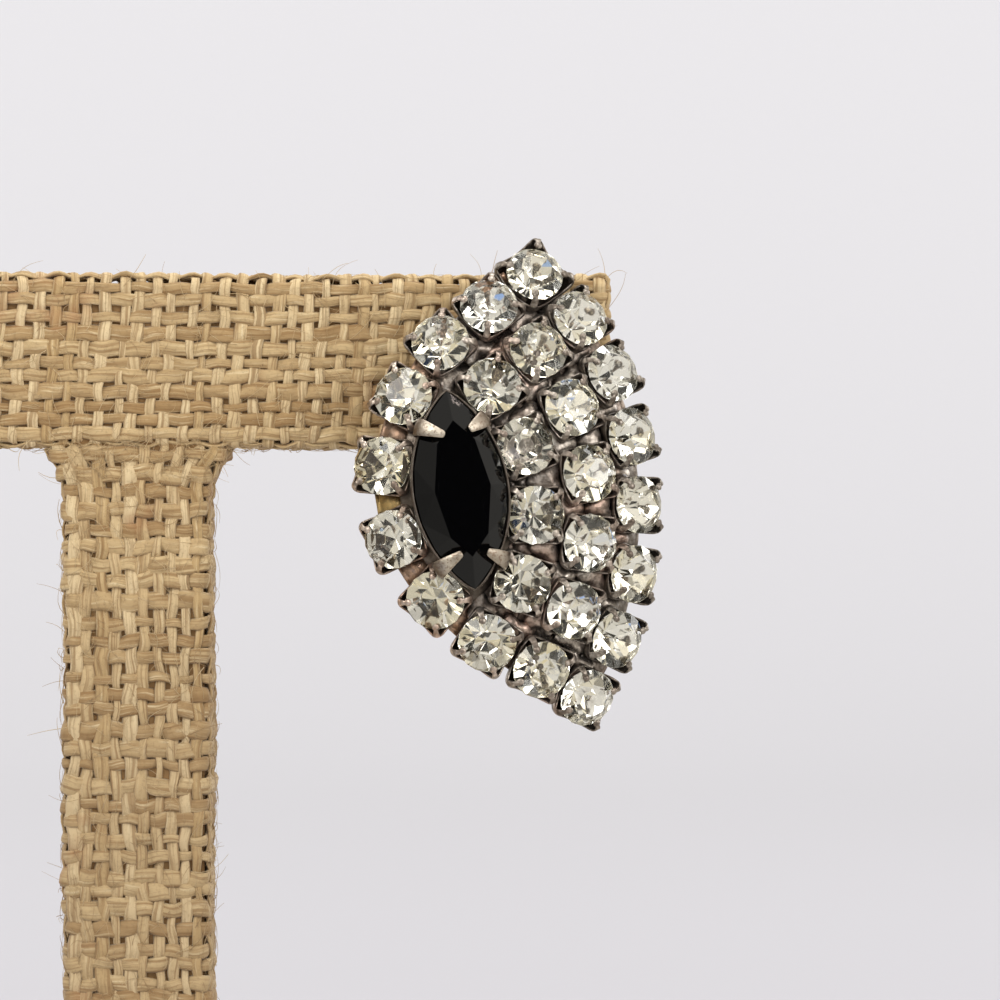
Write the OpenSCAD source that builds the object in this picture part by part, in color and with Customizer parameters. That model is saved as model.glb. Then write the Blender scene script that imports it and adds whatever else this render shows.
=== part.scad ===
// A rhinestone clip earring on the arm of a small T-shaped stand covered in burlap.
// Lengths are in millimetres and angles in degrees. +Z is up and +Y runs from the
// front to the back. The origin is the centre of the underside of the stand's base.

/* [Stand] */
// Height of the stand, from what it rests on to the top of its arm
stand_h = 90; // [84:1:120]
// Length of the arm from end to end
arm_l = 72; // [66:1:90]
// Height of the arm's face
arm_h = 13; // [12:0.5:14]
// Width of the post
post_w = 13; // [10:0.5:16]
// Thickness of arm and post from front to back
bar_t = 6; // [5:0.5:7]
// Radius of the covered edges of arm and post
bar_edge_r = 0.8; // [0.4:0.1:1.5]
// Radius of the inner corners between arm and post
bar_corner_r = 2; // [1:0.5:4]
// Width of the base
base_w = 52; // [40:1:80]
// Depth of the base from front to back
base_d = 34; // [26:1:50]
// Height of the base
base_h = 8; // [6:0.5:12]
// Radius of the base's upright edges
base_edge_r = 2; // [1:0.5:4]

/* [Earring on the stand] */
// Distance of the black stone's centre from the middle of the stand
earring_x = 24.8; // [22:0.2:28]
// Distance of the black stone's centre below the top of the arm
earring_drop = 16.2; // [15:0.2:18]
// Distance from the arm's front face to the chatons' girdle plane at the crest
earring_out = 8.7; // [8.7:0.1:9.5]

/* [Round stones] */
// Diameter of a round stone at its girdle
chaton_d = 4.4; // [4:0.1:4.4]
// Height of its crown above the girdle
chaton_crown = 0.95; // [0.7:0.05:1.1]
// Thickness of the girdle
chaton_girdle = 0.15; // [0.1:0.05:0.2]
// Depth from the girdle's lower edge to the point
chaton_point = 1.75; // [1.5:0.05:1.9]
// Diameter of the table as a share of the girdle's
chaton_table = 0.52; // [0.4:0.02:0.6]

/* [Black stone] */
// Length of the pointed oval stone
navette_l = 15; // [14:0.5:15]
// Width of the pointed oval stone
navette_w = 6.9; // [6:0.1:7]
// Height of its crown
navette_crown = 1.3; // [0.9:0.1:1.5]
// Thickness of its girdle
navette_girdle = 0.3; // [0.2:0.1:0.4]
// Depth from the girdle's lower edge to the keel
navette_keel = 2.1; // [1.8:0.1:2.3]
// Height of its girdle above the round stones' girdles
navette_rise = 0.5; // [0.4:0.1:0.8]
// Angle that its upper tip leans to the left
navette_lean = 8.3; // [0:0.1:12]
// Angle that it is set turned to the right, about its length
navette_tilt = 7; // [0:0.5:8]

/* [Rows of stones] */
// Distance between stones along the three curved rows on the right
row_pitch = 5.25; // [5.2:0.05:5.5]
// Radius of the inner row, measured on the flat pattern
inner_r = 15.15; // [15.1:0.05:15.6]
// Distance from the inner row to the middle row
middle_step = 4.55; // [4.5:0.05:4.8]
// Distance from the middle row to the outer row
outer_step = 4.35; // [4.35:0.05:4.8]
// Distance between stones along the short row on the left
left_pitch = 5.6; // [5.2:0.1:5.8]
// Radius of the short row on the left
left_r = 12.35; // [12:0.05:13]

/* [Dome] */
// Radius of the dome from side to side
dome_across_r = 21; // [20:1:40]
// Radius of the dome from top to bottom
dome_along_r = 40; // [40:1:90]
// Height of the dome's crest from the black stone's centre
dome_crest_v = -3; // [-5:0.5:0]

/* [Metalwork] */
// Room between a stone and its seat
seat_gap = 0.05; // [0.03:0.01:0.08]
// Width of the strips that join neighbouring cups
strip_w = 2.5; // [2:0.1:3.6]
// Thickness of those strips
strip_t = 0.6; // [0.4:0.1:0.8]
// Thickness of the black stone's bezel at its rim
bezel_t = 0.2; // [0.15:0.05:0.3]
// Width of the clip's paddle at its round end
paddle_w = 7; // [6:0.5:9]
// Length of the paddle above the clip's bridge
paddle_l = 13; // [10:0.5:14]
// Width of the clip's bridge under the arm
bridge_w = 4.6; // [4:0.2:5]

/* [Hidden] */
piece_gap = 0.05;
degrees_per_radian = 180 / PI;

// Rows of round stones on the flat pattern, seen from the front. Each row is an arc.
// Its first stone is at the top, and a negative pitch runs clockwise.
NAME = 0;
COUNT = 1;
CENTRE_U = 2;
CENTRE_V = 3;
RADIUS = 4;
FIRST_ANGLE = 5;
PITCH = 6;
middle_r = inner_r + middle_step;
outer_r = middle_r + outer_step;
rows = [
    ["outer", 8, -9.5, -1.5, outer_r, 51.1, -row_pitch],
    ["middle", 7, -9.5, -1.5, middle_r, 54, -row_pitch],
    ["inner", 6, -9.5, -1.5, inner_r, 58.4, -row_pitch],
    ["left", 4, 6.35, 1, left_r, 150, left_pitch],
];

function stone_name(row, i) = str("chaton_", row[NAME], "_", i + 1);

// Place of a stone on the flat pattern: across, up, and the angle of its radius
function stone_angle(row, i) =
    row[FIRST_ANGLE] + i * row[PITCH] / row[RADIUS] * degrees_per_radian;
function stone_spot(row, i) =
    let (angle = stone_angle(row, i))
    [
        row[CENTRE_U] + row[RADIUS] * cos(angle),
        row[CENTRE_V] + row[RADIUS] * sin(angle),
        angle
    ];
function row_spots(row) = [for (i = [0 : row[COUNT] - 1]) stone_spot(row, i)];
spots = [for (row = rows) each row_spots(row)];

// The flat pattern is bent over a dome that leans back from its crest.
function tilt_across(u) = u / dome_across_r * degrees_per_radian;
function tilt_along(v) = (v - dome_crest_v) / dome_along_r * degrees_per_radian;
function dome_point(u, v) = [
    dome_across_r * sin(tilt_across(u)),
    dome_across_r * (1 - cos(tilt_across(u))) + dome_along_r * (1 - cos(tilt_along(v))),
    dome_crest_v + dome_along_r * sin(tilt_along(v))
];
earring_place = [earring_x, -bar_t / 2 - earring_out, stand_h - earring_drop];

// Puts a shape on the dome, its own +Z pointing out of the dome's surface
module on_dome(u, v, turn) {
    pitch = -atan(tan(tilt_along(v)) * cos(tilt_across(u)));
    translate(earring_place + dome_point(u, v))
        rotate([90, 0, 0])
            rotate([pitch, tilt_across(u), 0])
                rotate([0, 0, turn])
                    children();
}

// A closed skin through rings that have the same number of points
function band_faces(n, lower) = [
    for (i = [0 : n - 1])
        let (next = (i + 1) % n)
        each [
            [lower + i, lower + n + i, lower + n + next],
            [lower + i, lower + n + next, lower + next]
        ]
];
module skin(rings) {
    n = len(rings[0]);
    last = (len(rings) - 1) * n;
    foot = [for (i = [0 : n - 1]) i];
    head = [for (i = [n - 1 : -1 : 0]) last + i];
    sides = [for (k = [0 : len(rings) - 2]) each band_faces(n, k * n)];
    polyhedron(points = [for (ring = rings) each ring], faces = concat([foot], [head], sides));
}
function round_ring(n, r, z, first) =
    [for (i = [0 : n - 1]) [r * cos(first + i * 360 / n), r * sin(first + i * 360 / n), z]];
function box_ring(row) = [
    [row[1], -row[3] / 2, row[0]],
    [row[2], -row[3] / 2, row[0]],
    [row[2], row[3] / 2, row[0]],
    [row[1], row[3] / 2, row[0]]
];

// Outline of a pointed oval: two arcs that meet at the tips
function oval_arc_r(l, w) = (l * l + w * w) / (4 * w);
function oval_point(l, w, share) =
    let (
        r = oval_arc_r(l, w),
        reach = asin(l / 2 / r),
        side = share < 0.5 ? 1 : -1,
        a = reach * (1 - 4 * (share < 0.5 ? share : share - 0.5))
    )
    [side * (r * cos(a) - r + w / 2), -side * r * sin(a)];
function oval_ring(n, l, w, z) =
    [for (i = [0 : n - 1]) let (p = oval_point(l, w, i / n)) [p[0], p[1], z]];

// A bar with rounded long edges, along Z, standing on the XY plane
module rounded_bar(w, d, r, l) {
    linear_extrude(l) {
        square([w - 2 * r, d], center = true);
        square([w, d - 2 * r], center = true);
        for (sx = [-1, 1], sy = [-1, 1])
            translate([sx * (w / 2 - r), sy * (d / 2 - r)])
                circle(r, $fn = 32);
    }
}

// Fills the inner corner between the post and the arm, on the side that sx names
corner_t = bar_t - 2 * bar_edge_r;
module inner_corner(sx) {
    translate([sx * (post_w / 2 + bar_corner_r), corner_t / 2, stand_h - arm_h - bar_corner_r])
        rotate([90, 0, 0])
            linear_extrude(corner_t)
                difference() {
                    translate([sx < 0 ? 0 : -bar_corner_r, 0])
                        square(bar_corner_r);
                    circle(bar_corner_r, $fn = 48);
                }
}

// Arm and post, cut from one board and covered in glued burlap
module stand_tee() {
    color("tan") {
        translate([-arm_l / 2, 0, stand_h - arm_h / 2])
            rotate([0, 90, 0])
                rounded_bar(arm_h, bar_t, bar_edge_r, arm_l);
        translate([0, 0, base_h + piece_gap])
            rounded_bar(post_w, bar_t, bar_edge_r, stand_h - arm_h / 2 - base_h - piece_gap);
        for (sx = [-1, 1])
            inner_corner(sx);
    }
}

// Covered block that the post stands on
module stand_base() {
    color("burlywood")
        rounded_bar(base_w, base_d, base_edge_r, base_h);
}

// A round stone: a table, eight kites and eight triangles round it, and a pointed back
chaton_r = chaton_d / 2;
table_r = chaton_r * chaton_table;
chaton_low = -chaton_girdle - chaton_point;
module chaton_shape() {
    points = concat(
        round_ring(8, table_r, chaton_crown, 0),
        round_ring(16, chaton_r, 0, 11.25),
        round_ring(16, chaton_r, -chaton_girdle, 11.25),
        [[0, 0, chaton_low]]
    );
    upper = 8;
    lower = 24;
    point = 40;
    faces = concat(
        [[for (k = [7 : -1 : 0]) k]],
        [for (k = [0 : 7]) [k, upper + 2 * k, upper + (2 * k + 15) % 16]],
        [for (k = [0 : 7]) [k, (k + 1) % 8, upper + 2 * k + 1, upper + 2 * k]],
        [for (i = [0 : 15]) [upper + i, upper + (i + 1) % 16, lower + (i + 1) % 16, lower + i]],
        [for (i = [0 : 15]) [lower + i, lower + (i + 1) % 16, point]]
    );
    polyhedron(points = points, faces = faces);
}
module chaton(spot) {
    color("ghostwhite")
        on_dome(spot[0], spot[1], spot[2])
            chaton_shape();
}

// The black stone: a table of eight sides, four facets a side and a keel
navette_table_l = 0.68 * navette_l;
navette_table_w = 0.61 * navette_w;
navette_shoulder_l = 0.47 * navette_l;
navette_shoulder_w = 0.41 * navette_w;
navette_keel_l = 0.3 * navette_l;
function navette_table(grow, z) =
    let (
        tip = navette_table_l / 2 + grow,
        mid = navette_table_w / 2 + grow,
        up = navette_shoulder_l / 2 + grow,
        out = navette_shoulder_w / 2 + grow
    )
    [[0, -tip, z], [out, -up, z], [mid, 0, z], [out, up, z],
     [0, tip, z], [-out, up, z], [-mid, 0, z], [-out, -up, z]];
module navette_shape(grow = 0) {
    l = navette_l + 2 * grow;
    w = navette_w + 2 * grow;
    low = -navette_girdle - grow / 2;
    keel = -navette_girdle - navette_keel - 1.5 * grow;
    points = concat(
        navette_table(grow, navette_crown + grow),
        oval_ring(16, l, w, grow / 2),
        oval_ring(16, l, w, low),
        [[0, -navette_keel_l / 2, keel], [0, navette_keel_l / 2, keel]]
    );
    upper = 8;
    lower = 24;
    keel_ends = [40, 41];
    faces = concat(
        [[for (k = [7 : -1 : 0]) k]],
        [for (k = [0 : 7]) [k, upper + 2 * k + 1, upper + 2 * k]],
        [for (k = [0 : 7]) [k, (k + 1) % 8, upper + 2 * k + 1]],
        [for (k = [0 : 7]) [(k + 1) % 8, upper + (2 * k + 2) % 16, upper + 2 * k + 1]],
        [for (i = [0 : 15]) [upper + i, upper + (i + 1) % 16, lower + i]],
        [for (i = [0 : 15]) [upper + (i + 1) % 16, lower + (i + 1) % 16, lower + i]],
        [for (i = [0 : 3]) [lower + i, lower + i + 1, keel_ends[0]]],
        [[lower + 4, keel_ends[1], keel_ends[0]]],
        [for (i = [4 : 11]) [lower + i, lower + i + 1, keel_ends[1]]],
        [[lower + 12, keel_ends[0], keel_ends[1]]],
        [for (i = [12 : 15]) [lower + i, lower + (i + 1) % 16, keel_ends[0]]]
    );
    polyhedron(points = points, faces = faces);
}
module at_navette() {
    on_dome(0, 0, navette_lean)
        translate([0, 0, navette_rise])
            rotate([0, navette_tilt, 0])
                children();
}
module navette() {
    color("black")
        at_navette()
            navette_shape();
}

// The seat is the stone's form with eight flats, a little wider all round.
flats = 1 / cos(22.5);
module chaton_seat() {
    skin([
        round_ring(8, seat_gap, chaton_low - 1.5 * seat_gap, 22.5),
        round_ring(8, (chaton_r + seat_gap) * flats, -chaton_girdle - seat_gap / 2, 22.5),
        round_ring(8, (chaton_r + seat_gap) * flats, seat_gap / 2, 22.5),
        round_ring(8, (table_r + seat_gap) * flats, chaton_crown + seat_gap, 22.5)
    ]);
}

// A cup is pressed from sheet: a square that widens upwards, with a prong at each corner.
cup_foot_z = -2.35;
cup_foot_w = 2.9;
cup_rim_z = -0.5;
cup_rim_w = 4.05;
cup_corner = 0.45;
function square_ring(w, corner, z) =
    let (s = w / 2, c = s - corner)
    [[s, -c, z], [s, c, z], [c, s, z], [-c, s, z], [-s, c, z], [-s, -c, z], [-c, -s, z], [c, -s, z]];
module cup() {
    skin([
        square_ring(cup_foot_w, cup_corner, cup_foot_z),
        square_ring(cup_rim_w, cup_corner, cup_rim_z)
    ]);
    for (a = [45 : 90 : 315])
        rotate([0, 0, a])
            prong();
}

// Each row is a level of the prong: height, inner radius, outer radius and width
prong_levels = [
    [-1.3, 1.6, 2.35, 1.0],
    [0.15, 2.1, 2.8, 0.9],
    [0.78, 1.6, 2.25, 0.6],
];
module prong() {
    skin([for (level = prong_levels) box_ring(level)]);
}

// A strip of the chain or a run of solder from one cup's wall to the next one's
strip_z = -1.75;
strip_from = 1.6;
module strip(from, to, w) {
    aim = atan2(to[1] - from[1], to[0] - from[0]);
    hull() {
        on_dome(from[0], from[1], aim)
            translate([strip_from, 0, strip_z])
                cube([0.1, w, strip_t], center = true);
        on_dome(to[0], to[1], aim)
            translate([-strip_from, 0, strip_z])
                cube([0.1, w, strip_t], center = true);
    }
}

// Cups of neighbouring rows are soldered where they are nearer to each other than this.
solder_reach = 5.5;
solder_w = 2.5;
function apart(a, b) = norm(dome_point(a[0], a[1]) - dome_point(b[0], b[1]));

// Solder fills the star-shaped hollow behind two neighbours of a row, with its four
// corners between the cups.
solder_across = 2.1;
solder_along = 3.4;
solder_z = -1.33;
solder_t = 0.6;
function star_spot(row, i, step) =
    let (
        angle = (stone_angle(row, i) + stone_angle(row, i + 1)) / 2,
        r = row[RADIUS] - step / 2
    )
    [row[CENTRE_U] + r * cos(angle), row[CENTRE_V] + r * sin(angle), angle];
row_stars = [
    for (k = [0, 1], i = [0 : rows[k][COUNT] - 2])
        star_spot(rows[k], i, rows[k][RADIUS] - rows[k + 1][RADIUS])
];

// Two more stars fill the hollows at the black stone's tips.
tip_stars = [
    (row_spots(rows[3])[0] + row_spots(rows[2])[0] + row_spots(rows[2])[1]) / 3,
    (row_spots(rows[3])[3] + row_spots(rows[2])[5] + row_spots(rows[2])[4]) / 3,
];
module solder_star(spot) {
    on_dome(spot[0], spot[1], spot[2])
        translate([0, 0, solder_z])
            linear_extrude(solder_t)
                polygon([[solder_across, 0], [0, solder_along], [-solder_across, 0], [0, -solder_along]]);
}

// Bezel of the black stone: a pointed oval cup that narrows downwards
bezel_foot_z = -2.55;
bezel_foot_share = 0.6;
bezel_bend_z = -0.65;
bezel_rim_z = -0.1;
bezel_base_z = -2.7;
bezel_base_out = 0.9;
module bezel() {
    l = navette_l + 2 * bezel_t;
    w = navette_w + 2 * bezel_t;
    skin([
        oval_ring(24, l * bezel_foot_share, w * bezel_foot_share, bezel_foot_z),
        oval_ring(24, l, w, bezel_bend_z),
        oval_ring(24, l, w, bezel_rim_z)
    ]);
    translate([0, 0, bezel_base_z])
        skin([
            oval_ring(16, l + 2 * bezel_base_out, w + 2 * bezel_base_out, 0),
            oval_ring(16, l + 2 * bezel_base_out, w + 2 * bezel_base_out, strip_t)
        ]);
    for (sx = [-1, 1], sy = [-1, 1])
        scale([sx, sy, 1])
            claw();
}

// A claw rises from the bezel and folds over the crown towards the stone's middle.
// Each row is a level: place across, place along, height, and half the width there.
claw_levels = [
    [2.2, 5.35, -1.2, 0.65],
    [2.55, 5.35, 0.1, 0.65],
    [2.3, 5.2, 0.9, 0.55],
    [1.15, 4.65, 1.5, 0.28],
];
claw_thick = 0.45;
claw_aim = [-0.9, -0.43];
module claw() {
    hull_pairs = [for (i = [0 : len(claw_levels) - 2]) [claw_levels[i], claw_levels[i + 1]]];
    for (pair = hull_pairs)
        hull()
            for (level = pair)
                translate([level[0], level[1], level[2]])
                    rotate([0, 0, atan2(claw_aim[1], claw_aim[0])])
                        cube([claw_thick, 2 * level[3], claw_thick], center = true);
}

// Plate soldered behind the cups, which carries the clip
pad_x = 2.6;
pad_w = 6;
pad_h = 9;
pad_t = 1.1;
pad_back_y = earring_place[1] + 3.6;
module clip_pad() {
    translate([earring_x + pad_x - pad_w / 2, pad_back_y - pad_t, earring_place[2] - pad_h / 2])
        cube([pad_w, pad_t, pad_h]);
}

// All the soldered metal of the earring, with the stones' seats cut into it
module setting() {
    color("dimgray")
        difference() {
            union() {
                for (spot = spots)
                    on_dome(spot[0], spot[1], spot[2])
                        cup();
                for (row = rows, i = [0 : row[COUNT] - 2])
                    strip(stone_spot(row, i), stone_spot(row, i + 1), strip_w);
                for (k = [0 : len(rows) - 2], a = row_spots(rows[k]), b = row_spots(rows[k + 1]))
                    if (apart(a, b) < solder_reach)
                        strip(a, b, solder_w);
                for (spot = concat(row_stars, tip_stars))
                    solder_star(spot);
                at_navette()
                    bezel();
                clip_pad();
            }
            for (spot = spots)
                on_dome(spot[0], spot[1], spot[2])
                    chaton_seat();
            at_navette()
                navette_shape(seat_gap);
        }
}

// Clip: a foot on the plate, a bridge under the arm and a paddle behind the arm
clip_t = 0.9;
clip_foot_h = 7;
bridge_h = 1.8;
bridge_under_arm = 0.5;
bridge_top_z = stand_h - arm_h - bridge_under_arm;
paddle_y = bar_t / 2 + piece_gap;
module ear_clip() {
    clip_x = earring_x + pad_x;
    foot_y = pad_back_y + piece_gap;
    color("silver") {
        translate([clip_x - bridge_w / 2, foot_y, bridge_top_z - clip_foot_h])
            cube([bridge_w, clip_t, clip_foot_h]);
        translate([clip_x - bridge_w / 2, foot_y, bridge_top_z - bridge_h])
            cube([bridge_w, paddle_y + clip_t - foot_y, bridge_h]);
        translate([clip_x, paddle_y + clip_t, bridge_top_z - bridge_h])
            rotate([90, 0, 0])
                linear_extrude(clip_t) {
                    translate([-bridge_w / 2, 0])
                        square([bridge_w, paddle_l + bridge_h - paddle_w / 2]);
                    translate([0, paddle_l + bridge_h - paddle_w / 2])
                        circle(d = paddle_w, $fn = 48);
                }
    }
}

stand_tee();
stand_base();
setting();
ear_clip();
navette();
for (row = rows, i = [0 : row[COUNT] - 1])
    chaton(stone_spot(row, i));
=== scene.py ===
import math

import bmesh
import bpy
import numpy as np
from mathutils import Matrix, Vector


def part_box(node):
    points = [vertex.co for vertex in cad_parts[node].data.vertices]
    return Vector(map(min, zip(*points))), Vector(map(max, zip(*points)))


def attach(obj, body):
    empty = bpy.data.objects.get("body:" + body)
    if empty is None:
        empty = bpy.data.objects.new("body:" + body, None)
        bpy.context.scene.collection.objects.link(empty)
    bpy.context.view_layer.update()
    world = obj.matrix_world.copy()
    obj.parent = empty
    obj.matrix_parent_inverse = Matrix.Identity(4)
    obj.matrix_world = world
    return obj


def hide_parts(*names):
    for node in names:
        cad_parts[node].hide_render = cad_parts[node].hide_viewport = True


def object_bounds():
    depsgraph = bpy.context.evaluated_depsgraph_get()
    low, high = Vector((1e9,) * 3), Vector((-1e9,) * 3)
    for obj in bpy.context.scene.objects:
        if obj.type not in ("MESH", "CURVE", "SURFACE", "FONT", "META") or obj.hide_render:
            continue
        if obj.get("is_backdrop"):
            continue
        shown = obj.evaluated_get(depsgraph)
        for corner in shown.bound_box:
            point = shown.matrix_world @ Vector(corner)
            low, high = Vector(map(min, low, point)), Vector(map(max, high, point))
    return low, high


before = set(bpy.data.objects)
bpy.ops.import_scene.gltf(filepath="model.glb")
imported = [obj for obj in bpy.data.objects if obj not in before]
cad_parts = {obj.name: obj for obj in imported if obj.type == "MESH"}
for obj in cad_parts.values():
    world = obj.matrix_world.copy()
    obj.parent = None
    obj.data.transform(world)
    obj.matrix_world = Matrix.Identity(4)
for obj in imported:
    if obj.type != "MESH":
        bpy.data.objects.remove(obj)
cad_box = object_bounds()

# The view. The photograph looks level at the stand's right half from a third of a metre
# away. The earring hangs in the picture's middle, with the black stone a little left of it.
mm = 0.001
view_target = Vector((27.7, -11.0, 73.1)) * mm
view_distance = 330 * mm
pixel = 0.0743 * mm
picture_width = 1000 * pixel


def add_object(name, content):
    """An object at the origin, linked into the scene."""
    made = bpy.data.objects.new(name, content)
    bpy.context.collection.objects.link(made)
    return made


camera = add_object("camera", bpy.data.cameras.new("camera"))
camera.data.sensor_width = 36
camera.data.lens = camera.data.sensor_width * view_distance / picture_width
camera.location = view_target - Vector((0, view_distance, 0))
camera.rotation_euler = (math.radians(90), 0, 0)
bpy.context.scene.camera = camera

# The backdrop. One pale sheet lies flat under the stand and curves up into a wall all
# round it. The shiny parts don't mirror it, but the softboxes inside it and the room.
sweep_flat = 0.8
sweep_bend = 0.6
sweep_top = 2.4
sweep_sides = 96
# The sheet's own glow grows with the distance from the stand, which evens out its light
glow_here = 0.09
glow_per_metre = 0.289


class Wire:
    """A socket of a node tree. Arithmetic on it adds Math nodes to its tree."""

    def __init__(self, plan, socket):
        self.plan = plan
        self.socket = socket

    def math(self, operation, first, second):
        return self.plan.node("ShaderNodeMath", {"operation": operation}, {0: first, 1: second})

    def __add__(self, other):
        return self.math("ADD", self, other)

    def __mul__(self, other):
        return self.math("MULTIPLY", self, other)

    def __sub__(self, other):
        return self.math("SUBTRACT", self, other)

    def __rsub__(self, other):
        return self.math("SUBTRACT", other, self)

    __radd__ = __add__
    __rmul__ = __mul__


class Plan:
    """A node tree, to which node() adds any node."""

    def __init__(self, tree):
        self.tree = tree

    def node(self, kind, settings, values, out=0):
        made = self.tree.nodes.new(kind)
        for name, setting in settings.items():
            setattr(made, name, setting)
        for key, value in values.items():
            self.feed(made.inputs[key], value)
        return Wire(self, made.outputs[out]) if made.outputs else None

    def feed(self, socket, value):
        if isinstance(value, Wire):
            self.tree.links.new(value.socket, socket)
        else:
            socket.default_value = value

    def ease(self, value, low, high, top=1.0, way="SMOOTHSTEP"):
        values = {0: value, 1: low, 2: high, 4: top}
        return self.node("ShaderNodeMapRange", {"interpolation_type": way}, values)

    def vector(self, operation, first, second=(0, 0, 0), out=0):
        values = {0: first, 1: second}
        return self.node("ShaderNodeVectorMath", {"operation": operation}, values, out)

    def mix(self, share, low, high):
        """Mixes two colours. Each is a wire, or red, green and blue as the shader counts."""
        low, high = (tone if isinstance(tone, Wire) else (*tone, 1) for tone in (low, high))
        values = {0: share, 6: low, 7: high}
        return self.node("ShaderNodeMix", {"data_type": "RGBA"}, values, 2)


class Finish(Plan):
    """A material and its node tree."""

    def __init__(self, name):
        self.material = bpy.data.materials.new(name)
        self.material.use_nodes = True
        super().__init__(self.material.node_tree)
        self.shader = self.tree.nodes["Principled BSDF"]

    def place(self):
        return self.node("ShaderNodeTexCoord", {}, {}, "Object")

    def attribute(self, name, out="Fac"):
        return self.node("ShaderNodeAttribute", {"attribute_name": name}, {}, out)

    def noise(self, scale, detail, roughness, place=None):
        values = {"Vector": place or self.place(), "Scale": scale}
        values |= {"Detail": detail, "Roughness": roughness}
        return self.node("ShaderNodeTexNoise", {}, values)

    def layered(self, tone, layers):
        """A tone with others laid over it in turn, each by its own share."""
        for share, over in layers:
            tone = self.mix(share, tone, over)
        return tone

    def set(self, **values):
        for name, value in values.items():
            self.feed(self.shader.inputs[name.replace("_", " ")], value)

    def bump(self, height, distance, strength=1.0):
        values = {"Strength": strength, "Distance": distance, "Height": height}
        self.set(Normal=self.node("ShaderNodeBump", {}, values))


def lathe_mesh(name, profile, sides):
    """A surface of revolution round +Z through points given as radius and height."""
    points = [(0, 0, profile[0][1])]
    faces = []
    for row, (r, z) in enumerate(profile[1:]):
        for k in range(sides):
            a = 2 * math.pi * k / sides
            points.append((r * math.cos(a), r * math.sin(a), z))
            here, after = 1 + row * sides + k, 1 + row * sides + (k + 1) % sides
            faces.append((here - sides, here, after, after - sides) if row else (0, here, after))
    mesh = bpy.data.meshes.new(name)
    mesh.from_pydata(points, [], faces)
    mesh.polygons.foreach_set("use_smooth", [True] * len(faces))
    return mesh


sweep_profile = [(0, 0), (sweep_flat / 2, 0)]
for a in range(0, 91, 6):
    in_bend = sweep_bend * math.sin(math.radians(a))
    up_bend = sweep_bend * (1 - math.cos(math.radians(a)))
    sweep_profile.append((sweep_flat + in_bend, up_bend))
sweep_profile.append((sweep_flat + sweep_bend, sweep_top))
sweep = add_object("backdrop", lathe_mesh("backdrop", sweep_profile, sweep_sides))
card = Finish("backdrop card")
flat_place = card.vector("MULTIPLY", card.place(), (1, 1, 0))
from_stand = card.vector("LENGTH", flat_place, out="Value")
card.set(
    Base_Color=(0.398, 0.389, 0.412, 1),
    Roughness=0.9,
    Specular_IOR_Level=0.1,
    Emission_Color=from_stand * glow_per_metre + glow_here,
    Emission_Strength=1.0,
)
# The glow is weak, so it isn't sampled as a lamp, which would take long
card.material.cycles.emission_sampling = "NONE"
sweep.data.materials.append(card.material)
sweep.visible_glossy = False
sweep.visible_transmission = False
sweep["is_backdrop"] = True

# The softboxes. Soft lamps of several sizes stand round the object and light it evenly, and
# the stones and the metal mirror them as bright panes.
# Each row is a lamp: its name, place, width, height, watts and colour.
softboxes = [
    ("key", (-0.34, -0.52, 0.52), 0.34, 0.34, 1.7, (1, 0.985, 0.96)),
    ("fill", (0.50, -0.48, 0.34), 0.30, 0.40, 1.2, (0.99, 0.98, 0.97)),
    ("overhead", (0.05, 0.02, 0.75), 0.45, 0.30, 1.8, (1, 1, 1)),
    ("front", (0.06, -0.70, 0.16), 0.16, 0.10, 0.3, (1, 1, 1)),
    ("rear_left", (-0.50, 0.45, 0.30), 0.30, 0.40, 0.9, (1, 1, 1)),
    ("rear_right", (0.50, 0.45, 0.25), 0.30, 0.40, 0.9, (1, 1, 1)),
]
for box_name, place, width, height, watts, tint in softboxes:
    lamp = add_object(box_name, bpy.data.lights.new(box_name, "AREA"))
    lamp.data.shape = "RECTANGLE"
    lamp.data.size = width
    lamp.data.size_y = height
    lamp.data.energy = watts
    lamp.data.color = tint
    lamp.location = place
    lamp.rotation_euler = (view_target - Vector(place)).to_track_quat("-Z", "Y").to_euler()
    lamp.visible_camera = False

# The room. The shiny parts mirror it: pale above, below, to the right and high at the front
# left, dimmer at the far left, and dark in front, where the camera stands.
room_base = 0.55
# Each row is a patch of it: a direction, the dot products with it at which the patch's light
# starts and is full, and how much light it adds.
room_patches = [
    ((0.0, 0.0, 1.0), 0.10, 0.60, 0.27),
    ((0.0, 0.0, -1.0), 0.12, 0.45, 0.22),
    ((0.9, -0.25, 0.35), 0.50, 0.85, 0.23),
    ((-0.55, -0.75, 0.35), 0.70, 0.90, 0.20),
    ((-1.0, 0.0, -0.1), 0.60, 0.95, -0.14),
    ((0.10, -0.98, 0.12), 0.90, 0.965, -0.9),
]
# One bluish spot low at the front left gives the cut stones their few blue flashes
blue_spot = ((-0.70, -0.55, -0.45), 0.987, 0.991, 1.0, "LINEAR")
room_tone = (1, 0.955, 0.87)
blue_tone = (0.42, 0.66, 1.2)
room = bpy.data.worlds.new("room")
bpy.context.scene.world = room
room.use_nodes = True
walls = Plan(room.node_tree)
toward = walls.node("ShaderNodeTexCoord", {}, {}, "Generated")


def patch_light(heading, start, full, gain, way="SMOOTHSTEP"):
    """The light that a patch of the room adds, by how nearly a ray points at it."""
    facing = walls.vector("DOT_PRODUCT", toward, Vector(heading).normalized(), "Value")
    return walls.ease(facing, start, full, gain, way)


lit = room_base
for patch in room_patches:
    lit = walls.node("ShaderNodeMath", {"use_clamp": True}, {0: lit, 1: patch_light(*patch)})
room_light = room.node_tree.nodes["Background"]
walls.feed(room_light.inputs["Strength"], lit)
walls.feed(room_light.inputs["Color"], walls.mix(patch_light(*blue_spot), room_tone, blue_tone))
bpy.context.scene.view_settings.view_transform = "Standard"
# Light is mirrored many times inside a cut stone before it comes out
bpy.context.scene.cycles.glossy_bounces = 10

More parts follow.
